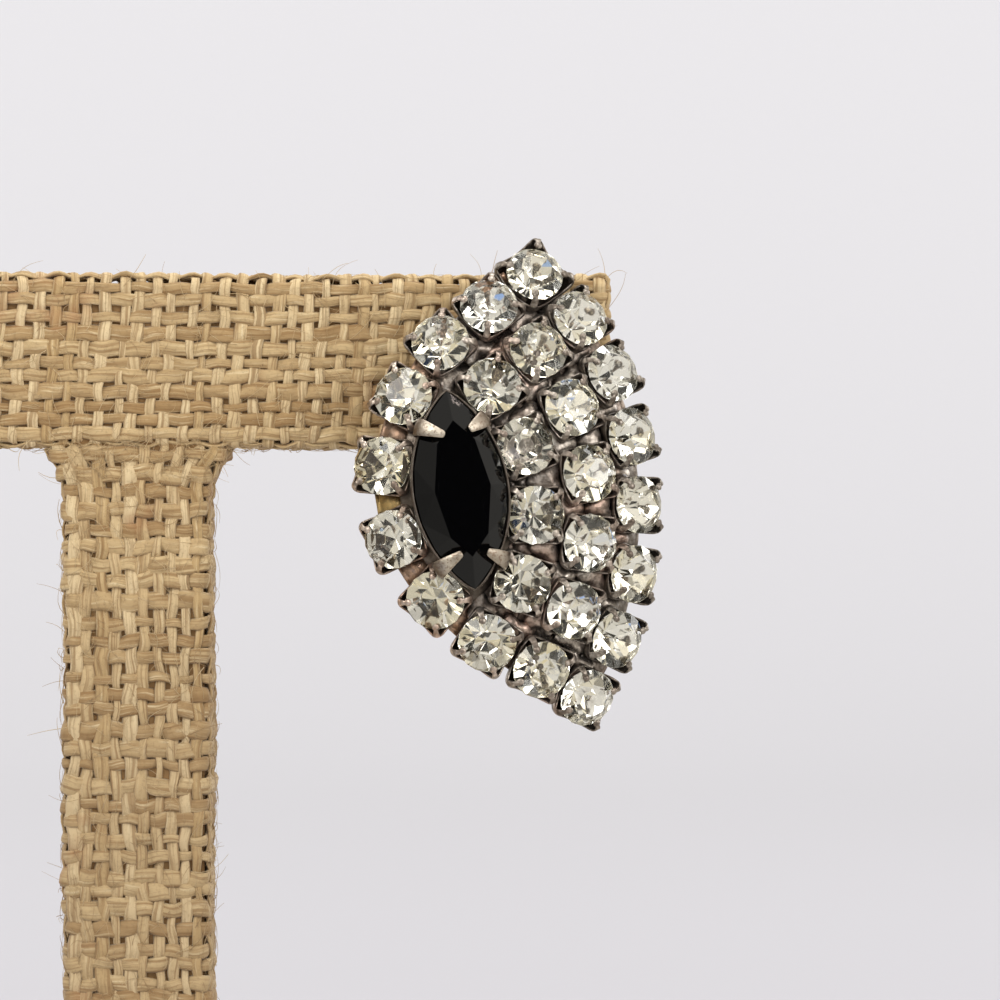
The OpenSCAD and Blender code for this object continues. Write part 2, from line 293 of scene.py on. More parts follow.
# The base. A block of board stands on the table with loosely woven burlap glued over it.
# The burlap is a plain weave of flat, uneven jute yarns, and dark board shows between them.
yarn_rise = 0.15 * mm
yarn_half_thick = 0.17 * mm
yarn_half_w = 0.5 * mm
yarn_sides = 8
cover_inset = yarn_rise + yarn_half_thick + 0.01 * mm
cover_step = 0.4 * mm
cover_tightest_r = 0.3 * mm
cover_end_gap = 0.1 * mm
board_inset = 0.62 * mm
board_edge_r = 0.5 * mm
base_edge_r = 2 * mm
under_edge = 0.5 * mm
chance = np.random.default_rng(7)


def paint(red, green, blue):
    """A shader colour from the eight-bit values of a colour on screen."""
    shares = [c / 255 for c in (red, green, blue)]
    return [c / 12.92 if c <= 0.04045 else ((c + 0.055) / 1.055) ** 2.4 for c in shares]


# Jute: each yarn has its own tone, with long pale and dark fibres along it, old stains, and
# a darker tone towards the bottom of the stand
jute = Finish("jute yarn")
along = jute.attribute("along")
yarn = jute.attribute("yarn")
around = jute.attribute("around", "Vector")
around_y = jute.node("ShaderNodeSeparateXYZ", {}, {0: around}, 1)
height = jute.node("ShaderNodeSeparateXYZ", {}, {0: jute.place()}, 2)


def jute_noise(x, y, z, detail, roughness=0.5):
    """Noise stretched along the yarn, which differs from yarn to yarn."""
    place = jute.node("ShaderNodeCombineXYZ", {}, {0: x, 1: y, 2: z})
    return jute.noise(1.0, detail, roughness, place)


fibres = jute_noise(along * 260, around_y * 2.6, yarn * 37, 4.0, 0.65)
strands = jute_noise(along * 110, around_y * 2.3, yarn * 61, 2.0)
slubs = jute_noise(along * 420, yarn * 53, 0.0, 2.0)
fuzz = jute.noise(3400.0, 4.0, 0.7)
stains = jute.noise(170.0, 3.0, 0.6)
warp_tone = jute.mix(yarn, paint(224, 201, 156), paint(190, 160, 110))
weft_tone = jute.mix(yarn, paint(208, 182, 134), paint(164, 132, 86))
jute_layers = [
    (jute.ease(strands, 0.46, 0.66) * 0.7, paint(140, 106, 62)),
    (jute.ease(fibres, 0.52, 0.74) * 0.85, paint(232, 212, 168)),
    (jute.ease(1 - fibres, 0.56, 0.72) * 0.5, paint(112, 80, 44)),
    (jute.ease(fuzz, 0.50, 0.66) * 0.26, paint(118, 90, 54)),
    (jute.ease(stains, 0.56, 0.72) * 0.42, paint(160, 104, 62)),
    # Darker towards the bottom of the stand
    (jute.ease(height, 0.078, 0.045) * 0.32, paint(128, 104, 74)),
]
yarn_tone = jute.layered(jute.mix(jute.attribute("weft"), warp_tone, weft_tone), jute_layers)
jute.set(Base_Color=yarn_tone, Roughness=0.86, Sheen_Weight=0.12)
jute.bump(fibres + slubs * 0.5 + fuzz * 0.6, 0.06 * mm, 0.55)

# Board seen between the yarns, brown with old glue
board = Finish("glued board")
board_grain = board.noise(900.0, 4.0, 0.6)
board_tone = board.mix(board_grain, paint(112, 82, 48), paint(170, 134, 86))
board.set(Base_Color=board_tone, Roughness=0.9)
board.bump(board_grain, 0.05 * mm)


def start_tree(name, inputs):
    """A Geometry Nodes tree with named inputs: its plan, and a wire from each input."""
    tree = bpy.data.node_groups.new(name, "GeometryNodeTree")
    for label, kind in inputs.items():
        tree.interface.new_socket(label, in_out="INPUT", socket_type="NodeSocket" + kind)
    tree.interface.new_socket("Geometry", in_out="OUTPUT", socket_type="NodeSocketGeometry")
    plan = Plan(tree)
    return plan, {label: plan.node("NodeGroupInput", {}, {}, label) for label in inputs}


def end_tree(plan, geometry, material):
    """Smooth shading and the material, which end every tree."""
    values = {"Geometry": geometry, "Shade Smooth": True}
    smooth = plan.node("GeometryNodeSetShadeSmooth", {}, values)
    values = {"Geometry": smooth, "Material": material}
    plan.node("NodeGroupOutput", {}, {0: plan.node("GeometryNodeSetMaterial", {}, values)})
    return plan.tree


def carried(plan, name, kind="FLOAT_VECTOR"):
    """A value that each point of the tree's geometry carries."""
    return plan.node("GeometryNodeInputNamedAttribute", {"data_type": kind}, {0: name})


def thread_tree():
    """Sweeps a flat oval along each thread, with its broad side to the thread's out vector."""
    sizes = {"Half thickness": "Float", "Half width": "Float", "Sides": "Int"}
    plan, given = start_tree("thread", {"Geometry": "Geometry", **sizes, "Material": "Material"})
    circle = plan.node("GeometryNodeCurvePrimitiveCircle", {}, {"Resolution": given["Sides"]})
    settings = {"data_type": "FLOAT_VECTOR", "domain": "POINT"}
    spot = plan.node("GeometryNodeInputPosition", {}, {})
    values = {"Geometry": circle, "Name": "around", "Value": spot}
    marked = plan.node("GeometryNodeStoreNamedAttribute", settings, values)
    values = {0: given["Half thickness"], 1: given["Half width"], 2: 1}
    size = plan.node("ShaderNodeCombineXYZ", {}, values)
    oval = plan.node("GeometryNodeTransform", {}, {"Geometry": marked, "Scale": size})
    path = plan.node("GeometryNodeMeshToCurve", {}, {0: given["Geometry"]})
    values = {"Curve": path, "Normal": carried(plan, "out")}
    aimed = plan.node("GeometryNodeSetCurveNormal", {"mode": "FREE"}, values)
    girth = carried(plan, "girth", "FLOAT")
    values = {"Curve": aimed, "Profile Curve": oval, "Scale": girth, "Fill Caps": True}
    swept = plan.node("GeometryNodeCurveToMesh", {}, values)
    real = plan.node("GeometryNodeRealizeInstances", {}, {0: swept})
    return end_tree(plan, real, given["Material"])


def plain_mesh(holder):
    """The plain mesh that an object's modifiers give. The object goes."""
    depsgraph = bpy.context.evaluated_depsgraph_get()
    mesh = bpy.data.meshes.new_from_object(holder.evaluated_get(depsgraph), depsgraph=depsgraph)
    holder.modifiers.clear()
    bpy.data.objects.remove(holder)
    return mesh


def settle(holder, tree, inputs):
    """Runs a tree on an object and gives the result as a plain mesh."""
    run = holder.modifiers.new("run", "NODES")
    run.node_group = tree
    for socket in tree.interface.items_tree:
        if socket.in_out == "INPUT" and socket.name in inputs:
            run[socket.identifier] = inputs[socket.name]
    holder.update_tag()
    return plain_mesh(holder)


def set_points(mesh, name, values):
    """Gives the points of a mesh a number or a vector each, or one number to all of them."""
    values = np.array(values, float)
    kind, key = ("FLOAT_VECTOR", "vector") if values.ndim == 2 else ("FLOAT", "value")
    if values.ndim == 0:
        values = np.full(len(mesh.vertices), values)
    layer = mesh.attributes.get(name) or mesh.attributes.new(name, kind, "POINT")
    layer.data.foreach_set(key, values.ravel())


class Spines:
    """Threads as rows of points, gathered to be swept together."""

    def __init__(self):
        self.rows = []
        self.edges = []
        self.count = 0

    def add(self, points, out, girth, weft, closed):
        n = len(points)
        steps = np.linalg.norm(np.diff(points, axis=0), axis=1)
        along = np.concatenate([[0], np.cumsum(steps)])
        tones = np.full(n, chance.random()), np.full(n, float(weft))
        self.rows.append((points, out, girth, along, *tones))
        starts = np.arange(self.count, self.count + n - 1)
        self.edges += np.stack([starts, starts + 1], 1).tolist()
        if closed:
            self.edges.append([self.count + n - 1, self.count])
        self.count += n

    def holder(self):
        points, *values = [np.concatenate(column) for column in zip(*self.rows)]
        mesh = bpy.data.meshes.new("spines")
        mesh.from_pydata(points.tolist(), self.edges, [])
        for name, value in zip(("out", "girth", "along", "yarn", "weft"), values):
            set_points(mesh, name, value)
        return add_object("spines", mesh)


def drift(places, amount, reach, seed):
    """Smooth wandering of each place in all three directions, by a few long waves."""
    waves = np.random.default_rng(seed)
    moved = np.zeros_like(places)
    for share in (1.0, 0.6, 0.4):
        heading = waves.normal(size=(3, 3)) / (reach * share)
        start = waves.random(3) * 2 * math.pi
        moved += share * np.sin(places @ heading.T + start)
    return places + moved * amount


def loop_round(half_p, half_q, corner, step):
    """A rounded rectangle in the plane of p and q: lengths, points and outward directions."""
    side_p, side_q, turn = 2 * (half_q - corner), 2 * (half_p - corner), math.pi * corner / 2
    total = 2 * (side_p + side_q + 2 * turn)
    count = int(round(total / step))
    s = np.arange(count) * total / count
    points, out = np.zeros((count, 2)), np.zeros((count, 2))
    start = 0.0
    for k in range(4):
        straight, far = (side_q, half_q) if k % 2 else (side_p, half_p)
        a = math.pi / 2 * k
        heading = np.array([math.cos(a), math.sin(a)])
        ahead = np.array([-math.sin(a), math.cos(a)])
        on = (s >= start) & (s < start + straight)
        run = s[on] - start - straight / 2
        points[on] = heading * far + run[:, None] * ahead
        out[on] = heading
        start += straight
        on = (s >= start) & (s < start + turn)
        b = a + (s[on] - start) / corner
        hub = heading * (far - corner) + ahead * straight / 2
        out[on] = np.stack([np.cos(b), np.sin(b)], 1)
        points[on] = hub + corner * out[on]
        start += turn
    return s, total, points, out


def crossings(half_p, half_q, corner, across_p, across_q, signs):
    """Where a loop meets the threads that cross it, and whether it passes over or under."""
    side_p, side_q, turn = 2 * (half_q - corner), 2 * (half_p - corner), math.pi * corner / 2
    met = []
    start = 0.0
    for k in range(4):
        places, straight = (across_q, side_q) if k % 2 else (across_p, side_p)
        forward = 1 if k in (0, 3) else -1
        for i, place in enumerate(places):
            met.append((start + straight / 2 + forward * place, signs[k] * (-1) ** i))
        start += straight + turn
    return sorted(met)


def rise_along(s, total, met):
    """Height of a thread along its loop, eased from one crossing to the next."""
    at, sign = np.array(met, float).T
    at = np.concatenate([[at[-1] - total], at, [at[0] + total]])
    sign = np.concatenate([[sign[-1]], sign, [sign[0]]])
    k = np.clip(np.searchsorted(at, s, side="right") - 1, 0, len(at) - 2)
    share = (s - at[k]) / np.maximum(at[k + 1] - at[k], 1e-9)
    return sign[k] + (sign[k + 1] - sign[k]) * (1 - np.cos(math.pi * share)) / 2


def ripple(s, total, length, start):
    """A wave along a loop that meets itself: about one swing per length."""
    return np.sin(2 * math.pi * round(total / length) * s / total + start)


def uneven(count, pitch, spread):
    """Places of threads side by side about zero, each a little out of step."""
    places = (np.arange(count) - (count - 1) / 2) * pitch
    return places + chance.uniform(-spread, spread, count) * pitch


def weave_box(centre, half, corner, counts, widths, shape, keep=None, wander=1.0):
    """Plain weave over a whole box: loops that stand across x, y and z.

    counts and widths are for the threads in planes of constant x, y and z. shape bends the
    finished places, keep drops what doesn't show, and wander makes the yarns more uneven.
    """
    half = np.array(half) - cover_inset
    corner = max(corner - cover_inset, cover_tightest_r)
    spread = 0.13 * wander
    pitches = 2 * (half - cover_end_gap) / counts
    at = [uneven(n, pitch, spread) for n, pitch in zip(counts, pitches)]
    nx, ny, nz = counts
    spines = Spines()
    # Each row is a family: its own axis, the two axes of its loop, and the parity that makes
    # it pass over and under in turn on its four sides.
    families = [
        (0, 1, 2, (ny + 1, nz, 0, 1)),
        (2, 0, 1, (nx + 1, ny, 0, 1)),
        (1, 0, 2, (nx, nz + 1, 1, 0)),
    ]
    for axis, p, q, parity in families:
        for i in range(counts[axis]):
            signs = [(-1) ** (i + k) for k in parity]
            s, total, flat, out2 = loop_round(half[p], half[q], corner, cover_step)
            met = crossings(half[p], half[q], corner, at[q], at[p], signs)
            rise = rise_along(s, total, met) * yarn_rise
            places, out = np.zeros((len(s), 3)), np.zeros((len(s), 3))
            places[:, axis] = at[axis][i]
            places[:, [p, q]] = flat
            out[:, [p, q]] = out2
            # Waves of several lengths make each yarn swell, sway and twist along its way
            wave = chance.uniform(0, 2 * math.pi, 6)
            swell = ripple(s, total, 9 * mm, wave[0]) + 0.8 * ripple(s, total, 21 * mm, wave[1])
            girth = widths[axis] * (1 + (0.11 * swell + chance.uniform(-0.17, 0.2)) * wander)
            sway = ripple(s, total, 7 * mm, wave[2]) + 0.7 * ripple(s, total, 3.4 * mm, wave[3])
            places[:, axis] += sway * 0.05 * mm * wander**2
            out[:, axis] = 0.3 * ripple(s, total, 5.2 * mm, wave[4])
            out /= np.linalg.norm(out, axis=1)[:, None]
            places = shape(places + out * rise[:, None])
            order = np.arange(len(s))
            kept = keep(places, out) if keep else order >= 0
            if not kept.all():
                order = np.roll(order, -int(np.argmax(~kept & np.roll(kept, -1))) - 1)
                order = order[kept[order]]
            weft = axis != 0
            spines.add(places[order] + centre, out[order], girth[order], weft, kept.all())
    return spines


def ended(made, name, *materials):
    """Turns a mesh under construction into a mesh with its materials."""
    mesh = bpy.data.meshes.new(name)
    made.to_mesh(mesh)
    made.free()
    for material in materials:
        mesh.materials.append(material)
    return mesh


def add_block(made, low, high, edge_r, smooth_steps=3):
    """Adds a block with softened edges, from its lowest to its highest corner."""
    low, high = Vector(low), Vector(high)
    place = Matrix.Translation((low + high) / 2) @ Matrix.Diagonal((*(high - low), 1))
    new = bmesh.ops.create_cube(made, size=1, matrix=place)
    edges = list(dict.fromkeys(edge for vert in new["verts"] for edge in vert.link_edges))
    bmesh.ops.bevel(made, geom=edges, offset=edge_r, segments=smooth_steps, affect="EDGES")


def joined(name, parts, *materials):
    """One object at the origin out of several meshes, with a material each or one for all."""
    made = bmesh.new()
    for i, mesh in enumerate(parts):
        before = len(made.faces)
        made.from_mesh(mesh)
        made.faces.ensure_lookup_table()
        for face in made.faces[before:]:
            face.material_index = min(i, len(materials) - 1)
        bpy.data.meshes.remove(mesh)
    return add_object(name, ended(made, name, *materials))


def burlap_piece(name, spines, low, high):
    """Yarns swept along their spines, over their block of board."""
    inputs = {"Half thickness": yarn_half_thick, "Half width": yarn_half_w, "Sides": yarn_sides}
    yarns = settle(spines.holder(), thread, {**inputs, "Material": jute.material})
    block = bmesh.new()
    add_block(block, low, high, board_edge_r)
    piece = joined(name, [yarns, ended(block, "board")], jute.material, board.material)
    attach(piece, "root")
    return piece


thread = thread_tree()
base_low, base_high = (Vector(c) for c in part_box("stand_base"))
base_half = (base_high - base_low) / 2
base_centre = (base_high + base_low) / 2


def round_upright_edges(places):
    """Brings the base's square corners in to the radius of its upright edges."""
    moved = drift(places, 0.05 * mm, 6 * mm, seed=3)
    inner = np.array([base_half.x, base_half.y]) - base_edge_r
    past = np.abs(moved[:, :2]) - inner
    both = (past > 0).all(axis=1)
    share = past.max(axis=1) / np.maximum(np.hypot(past[:, 0], past[:, 1]), 1e-9)
    pulled = np.sign(moved[:, :2]) * (inner + past * share[:, None])
    moved[both, :2] = pulled[both]
    return moved


def above_table(places, out):
    """Tells which points show, because the cloth under the base is left out."""
    return (places[:, 2] > -base_half.z + under_edge) | (out[:, 2] > -0.5)


base_spines = weave_box(
    np.array(base_centre),
    base_half,
    1.0 * mm,
    (39, 26, 6),
    (0.8, 0.98, 0.98),
    round_upright_edges,
    above_table,
)
base_board_low = base_low + Vector((board_inset, board_inset, 0))
base_board_high = base_high - Vector((board_inset,) * 3)
burlap_base = burlap_piece("burlap_base", base_spines, base_board_low, base_board_high)
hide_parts("stand_base")

# The post and the arm. Both are strips of one board, each wrapped in its own piece of
# burlap, and the post's wrap ends in a ragged seam under the arm.
tee_low, tee_high = (Vector(c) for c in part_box("stand_tee"))
arm_h = 13 * mm
post_w = 13 * mm
bar_t = tee_high.y - tee_low.y
arm_low_z = tee_high.z - arm_h
post_in_base = 0.6 * mm
post_in_arm = 0.5 * mm
post_board_in_arm = 2 * mm
post_low_z = base_high.z - post_in_base
post_high_z = arm_low_z + post_in_arm
post_half = Vector((post_w / 2, bar_t / 2, (post_high_z - post_low_z) / 2))
post_centre = Vector((0, 0, (post_high_z + post_low_z) / 2))
post_draw = 0.75 * mm
flare_h = 4.8 * mm
flare_w = 1.9 * mm
arm_half = Vector((tee_high.x, bar_t / 2, arm_h / 2))
arm_centre = Vector((0, 0, tee_high.z - arm_h / 2))
# The arm's wrap: its lean, how far it is held square at the ends, and how far it stands off
# the board at the upper edge and bows up on the right
yarn_lean = math.tan(math.radians(4.7))
square_end = 3 * mm
slack_left = 0.55 * mm
slack_right = 0.3 * mm
bow_right = 0.5 * mm
right_from = 8 * mm
right_over = 20 * mm


def flare_at_arm(places):
    """The post's wrap spreads under the arm, into the inner corners."""
    moved = drift(places, 0.05 * mm, 5 * mm, seed=11)
    moved[:, 0] *= 1 - post_draw / post_half.x
    up = np.clip((moved[:, 2] + post_centre.z - arm_low_z) / flare_h + 1, 0, 1)
    moved[:, 0] *= 1 + flare_w * up**3 / post_half.x
    return moved


def twist_on_arm(places):
    """The wrap sits a little askew on the arm, and its upright yarns lean."""
    moved = drift(places, 0.06 * mm, 6 * mm, seed=23)
    moved[:, 0] -= yarn_lean * places[:, 2] * places[:, 1] / arm_half.y
    at_end = np.abs(places[:, 0]) > arm_half.x - square_end
    moved[at_end, 0] = np.clip(moved[at_end, 0], -arm_half.x, arm_half.x)
    right = np.clip((places[:, 0] - right_from) / right_over, 0, 1)
    up = np.clip(places[:, 2] / arm_half.z, -1, 1)
    moved[:, 2] += bow_right * right * np.cos(up * math.pi / 2)
    moved[:, 2] += (slack_left * (1 - right) + slack_right * right) * np.clip(up, 0, 1) ** 2
    return moved


post_spines = weave_box(
    np.array(post_centre),
    post_half,
    0.8 * mm,
    (10, 5, 50),
    (0.94, 0.9, 1.1),
    flare_at_arm,
    wander=1.45,
)
post_board_half = post_w / 2 - post_draw - board_inset
post_board_low = Vector((-post_board_half, tee_low.y + board_inset, post_low_z))
post_board_high_z = arm_low_z + post_board_in_arm
post_board_high = Vector((post_board_half, tee_high.y - board_inset, post_board_high_z))
burlap_post = burlap_piece("burlap_post", post_spines, post_board_low, post_board_high)
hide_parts("stand_tee")

arm_spines = weave_box(
    np.array(arm_centre),
    arm_half,
    0.8 * mm,
    (55, 5, 11),
    (0.84, 0.95, 1.02),
    twist_on_arm,
    wander=1.15,
)
arm_board_low = Vector((tee_low.x, tee_low.y, arm_low_z)) + Vector((board_inset,) * 3)
arm_board_high = tee_high - Vector((board_inset,) * 3)
burlap_arm = burlap_piece("burlap_arm", arm_spines, arm_board_low, arm_board_high)
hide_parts("stand_tee")

# Loose fibres. Jute sheds fine pale hairs: short ones lie all over the arm and the post, more
# of them at the post's top, and a few long ones stand off the arm's corners and edges.
fibre_r = 0.028 * mm
fibre_step = 0.35 * mm
fibre_root = 0.1 * mm
hairs = Spines()


def add_hair(start, out, ahead, length, lift, curl):
    """One hair from a place on the cloth: it rises off it, bends and comes down again."""
    n = max(6, int(length / fibre_step))
    t = np.linspace(0, 1, n)
    side = np.cross(out, ahead)
    bend = chance.uniform(-1, 1, 2) * curl
    run = np.outer(t * length, ahead) + np.outer(np.sin(t * 3.1) * bend[0], side)
    run += np.outer(t * t * bend[1], side)
    rise = np.outer(lift * np.sin(t * math.pi * chance.uniform(0.6, 1.0)), out)
    girth = chance.uniform(0.6, 1.2) * (1 - 0.6 * t)
    hairs.add(start + run + rise, np.tile(out, (n, 1)), girth, chance.random() < 0.5, False)


front = Vector((0, bar_t / 2, 0))
top = Vector((0, 0, arm_h / 2))
side = Vector((post_w / 2 - post_draw, 0, 0))
seam = Vector((0, 0, arm_low_z - 1 * mm))
# Each row is a face of the cloth: its middle, its half sizes in millimetres along x, y and z,
# its way out, and how many hairs it has.
cloth_faces = [
    (arm_centre - front, (35.5, 0, 6.2), (0, -1, 0), 520),
    (arm_centre + front, (35.5, 0, 6.2), (0, 1, 0), 200),
    (arm_centre + top, (35.5, 2.6, 0), (0, 0, 1), 200),
    (arm_centre - top, (35.5, 2.6, 0), (0, 0, -1), 160),
    (post_centre - front, (5.2, 0, 32.0), (0, -1, 0), 420),
    (post_centre + front, (5.2, 0, 32.0), (0, 1, 0), 160),
    (post_centre + side, (0, 2.6, 32.0), (1, 0, 0), 150),
    (post_centre - side, (0, 2.6, 32.0), (-1, 0, 0), 150),
    (seam - front, (5.4, 0, 1.6), (0, -1, 0), 110),
    (seam + front, (5.4, 0, 1.6), (0, 1, 0), 60),
]
for middle, half, out, count in cloth_faces:
    out = np.array(out, float)
    for k in range(count):
        start = np.array(middle) + chance.uniform(-1, 1, 3) * np.array(half) * mm
        start -= out * fibre_root
        ahead = chance.normal(size=3) * (1 - np.abs(out))
        ahead[2] *= 1.6
        ahead /= np.linalg.norm(ahead)
        length = chance.uniform(0.8, 3.2) * mm
        add_hair(start, out, ahead, length, chance.uniform(0.12, 0.4) * mm, 0.5 * mm)
# Each row is a long hair: its start in millimetres, its way out, its way along, and its
# length, lift and curl in millimetres.
long_hairs = [
    ((35.7, -2.2, 89.6), (1, 0, 0), (-0.25, -0.1, 0.95), (2.8, 0.3, 0.5)),
    ((35.8, -2.6, 87.5), (1, 0, 0), (0.35, 0.0, 0.9), (3.2, 0.5, 0.9)),
    ((35.6, 1.0, 89.8), (0, 0, 1), (0.8, 0.2, 0.3), (2.2, 0.6, 0.8)),
    ((7.4, -2.6, 76.9), (0, 0, -1), (0.7, -0.1, -0.5), (1.8, 0.3, 0.6)),
    ((-35.7, -2.0, 88.9), (-1, 0, 0), (-0.3, 0.1, 0.9), (2.6, 0.4, 0.8)),
    ((14.2, -2.8, 89.9), (0, 0, 1), (0.8, -0.1, 0.45), (2.4, 0.3, 0.7)),
]
for start, out, ahead, sizes in long_hairs:
    add_hair(np.array(start) * mm, np.array(out, float), np.array(ahead), *(np.array(sizes) * mm))
hair_inputs = {"Half thickness": fibre_r, "Half width": fibre_r, "Sides": 4}
hair_mesh = settle(hairs.holder(), thread, {**hair_inputs, "Material": jute.material})
loose_fibres = add_object("loose_fibres", hair_mesh)
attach(loose_fibres, "root")
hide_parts("stand_tee")

# The round stones. Twenty-five foil-backed glass chatons, pressed and then polished flat
# facet by facet: a table, eight wide and eight narrow crown facets, and a pointed back whose
# facets are silvered. Each is turned a little in its cup, as stones set by hand are.
stone_r = 2.2 * mm
stone_crown = 0.95 * mm
stone_girdle = 0.15 * mm
stone_point = 1.75 * mm
stone_table_r = 0.52 * stone_r
back_ridge_r = 0.88 * stone_r

# Rows of stones on a flat pattern seen from the front, first stone at the top: count, the
# row's centre across and up, its radius, the first stone's angle in degrees, and the pitch
# along the row. The pattern is in millimetres from the black stone's middle, and it is bent
# over a dome that is rounder across than along.
stone_rows = {
    "outer": (8, -9.5, -1.5, 24.05, 51.1, -5.25),
    "middle": (7, -9.5, -1.5, 19.7, 54.0, -5.25),
    "inner": (6, -9.5, -1.5, 15.15, 58.4, -5.25),
    "left": (4, 6.35, 1.0, 12.35, 150.0, 5.6),
}
dome_across_r = 21.0
dome_along_r = 40.0
dome_crest_v = -3.0
earring_place = Vector((24.8, -11.7, 73.8))


def row_spots(count, u, v, r, first, pitch):
    """Places of a row's stones on the flat pattern in millimetres, with their turn."""
    turns = [math.radians(first) + i * pitch / r for i in range(count)]
    return [(u + r * math.cos(a), v + r * math.sin(a), a) for a in turns]


def on_dome(u, v, turn, lift=0.0):
    """Frame of a shape that stands on the dome, lifted out of its surface along its own +Z."""
    across, along_v = u / dome_across_r, (v - dome_crest_v) / dome_along_r
    point = Vector((
        dome_across_r * math.sin(across),
        dome_across_r * (1 - math.cos(across)) + dome_along_r * (1 - math.cos(along_v)),
        dome_crest_v + dome_along_r * math.sin(along_v),
    ))
    pitch = -math.atan(math.tan(along_v) * math.cos(across))
    spin = Matrix.Rotation(across, 4, "Y") @ Matrix.Rotation(pitch, 4, "X")
    upright = Matrix.Rotation(math.radians(90), 4, "X") @ spin @ Matrix.Rotation(turn, 4, "Z")
    place = Matrix.Translation((earring_place + point) * mm) @ upright
    return place @ Matrix.Translation((0, 0, lift))


def stone_ring(n, r, z, first):
    """Corners of a facet ring round the stone's axis."""
    turns = [math.radians(first + i * 360 / n) for i in range(n)]
    return [Vector((r * math.cos(a), r * math.sin(a), z)) for a in turns]


def stone_mesh(name, place):
    """Table, crown, girdle and back of one round stone; the back's facets come second."""
    # The ridge's corners lie in the planes of the wide facets
    out_share = math.cos(math.radians(11.25)) / math.cos(math.radians(22.5))
    ridge_z = -stone_girdle - stone_point * (1 - back_ridge_r / (stone_r * out_share))
    points = stone_ring(8, stone_table_r, stone_crown, 0) + stone_ring(16, stone_r, 0, 11.25)
    points += stone_ring(16, stone_r, -stone_girdle, 11.25)
    points += stone_ring(8, back_ridge_r, ridge_z, 0)
    points.append(Vector((0, 0, -stone_girdle - stone_point)))
    # Where each ring starts in the list of points
    upper, lower, ridge, point = 8, 24, 40, 48
    glass = [list(range(8))]
    silvered = []
    for k in range(8):
        after = (k + 1) % 8
        left, right = 2 * k, 2 * k + 1
        glass.append([k, upper + (left + 15) % 16, upper + left])
        glass.append([k, upper + left, upper + right, after])
        silvered.append([point, ridge + after, lower + right, lower + left, ridge + k])
        silvered.append([ridge + k, lower + left, lower + (left + 15) % 16])
    for i in range(16):
        after = (i + 1) % 16
        glass.append([lower + i, lower + after, upper + after, upper + i])
    mesh = bpy.data.meshes.new(name)
    mesh.from_pydata([place @ p for p in points], [], glass + silvered)
    mesh.polygons.foreach_set("material_index", [0] * len(glass) + [1] * len(silvered))
    # Each facet's own tint picks its foil tone, and with it the painted yellow and blue glints of
    # the stone's fire. The wide facets never turn blue.
    tints = chance.random(len(glass) + len(silvered))
    tints[len(glass)::2] = np.maximum(tints[len(glass)::2], 0.1)
    mesh.attributes.new("tint", "FLOAT", "FACE").data.foreach_set("value", tints)
    mesh.materials.append(clear_glass.material)
    mesh.materials.append(foil.material)
    return mesh


# Clear glass, faintly warm, with a polished face
clear_glass = Finish("clear glass")
clear_glass.set(
    Base_Color=(0.985, 0.985, 0.965, 1), Roughness=0.0, IOR=1.57, Transmission_Weight=1.0
)

# Silver foil behind the glass with dark blots of age, and painted glints of fire: some facets
# tinted yellow and a few blue
foil = Finish("aged foil")
facet = foil.attribute("tint")
foil_blot = foil.noise(420.0, 3.0, 0.6)
foil_layers = [
    # Painted yellow glints of fire on some facets
    (foil.ease(facet, 0.55, 0.95), (0.93, 0.885, 0.745)),
    (foil.ease(foil_blot, 0.58, 0.75) * 0.5, (0.42, 0.38, 0.34)),
    # Painted blue glints of fire on a few facets
    (foil.ease(facet, 0.062, 0.06), (0.38, 0.54, 0.98)),
]
foil_tone = foil.layered((0.93, 0.925, 0.90), foil_layers)
foil.set(Base_Color=foil_tone, Metallic=1.0, Roughness=0.06)

spots = {row: row_spots(*sizes) for row, sizes in stone_rows.items()}
for row, row_of_spots in spots.items():
    for i, (u, v, turn) in enumerate(row_of_spots):
        stone_turn = turn + chance.uniform(-0.16, 0.16)
        stone_name = f"stone_{row}_{i + 1}"
        piece = add_object(stone_name, stone_mesh(stone_name, on_dome(u, v, stone_turn)))
        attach(piece, "root")
        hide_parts(f"chaton_{row}_{i + 1}")

# The black stone. A navette of opaque black glass, pressed and polished: a long eight-sided
# table, twenty-four crown facets and a keel. It has fine scratches and, round its upper tip,
# small nicks. It is the CAD model's own mesh.
navette_l = 15 * mm
navette_w = 6.9 * mm
navette_rise = 0.5 * mm
navette_turn = math.radians(8.3)
navette_tilt = math.radians(7)
navette_place = on_dome(0, 0, navette_turn, navette_rise) @ Matrix.Rotation(navette_tilt, 4, "Y")
chip_place = navette_place @ (Vector((0.9, 6.9, 0.35)) * mm)
black_glass = Finish("black glass")
scratch_values = {0: black_glass.place(), 2: (0, 0.5, 0), 3: (9000, 900, 700)}
scratch_place = black_glass.node("ShaderNodeMapping", {}, scratch_values)
scratches = black_glass.noise(1.0, 2.0, 0.7, scratch_place)
from_chip = black_glass.vector("DISTANCE", black_glass.place(), chip_place, "Value")
near_chip = black_glass.ease(from_chip, 1.5 * mm, 0.4 * mm)
chips = black_glass.ease(near_chip * black_glass.noise(4200.0, 3.0, 0.7), 0.45, 0.53)
black_glass.set(
    Base_Color=black_glass.mix(chips, (0.0012, 0.0012, 0.0014), (0.26, 0.22, 0.20)),
    Roughness=black_glass.ease(scratches, 0.6, 0.8) * 0.14 + 0.03 + chips * 0.3,
    IOR=1.5,
    Specular_IOR_Level=0.31,
)
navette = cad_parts["navette"]
navette.data.materials.clear()
navette.data.materials.append(black_glass.material)

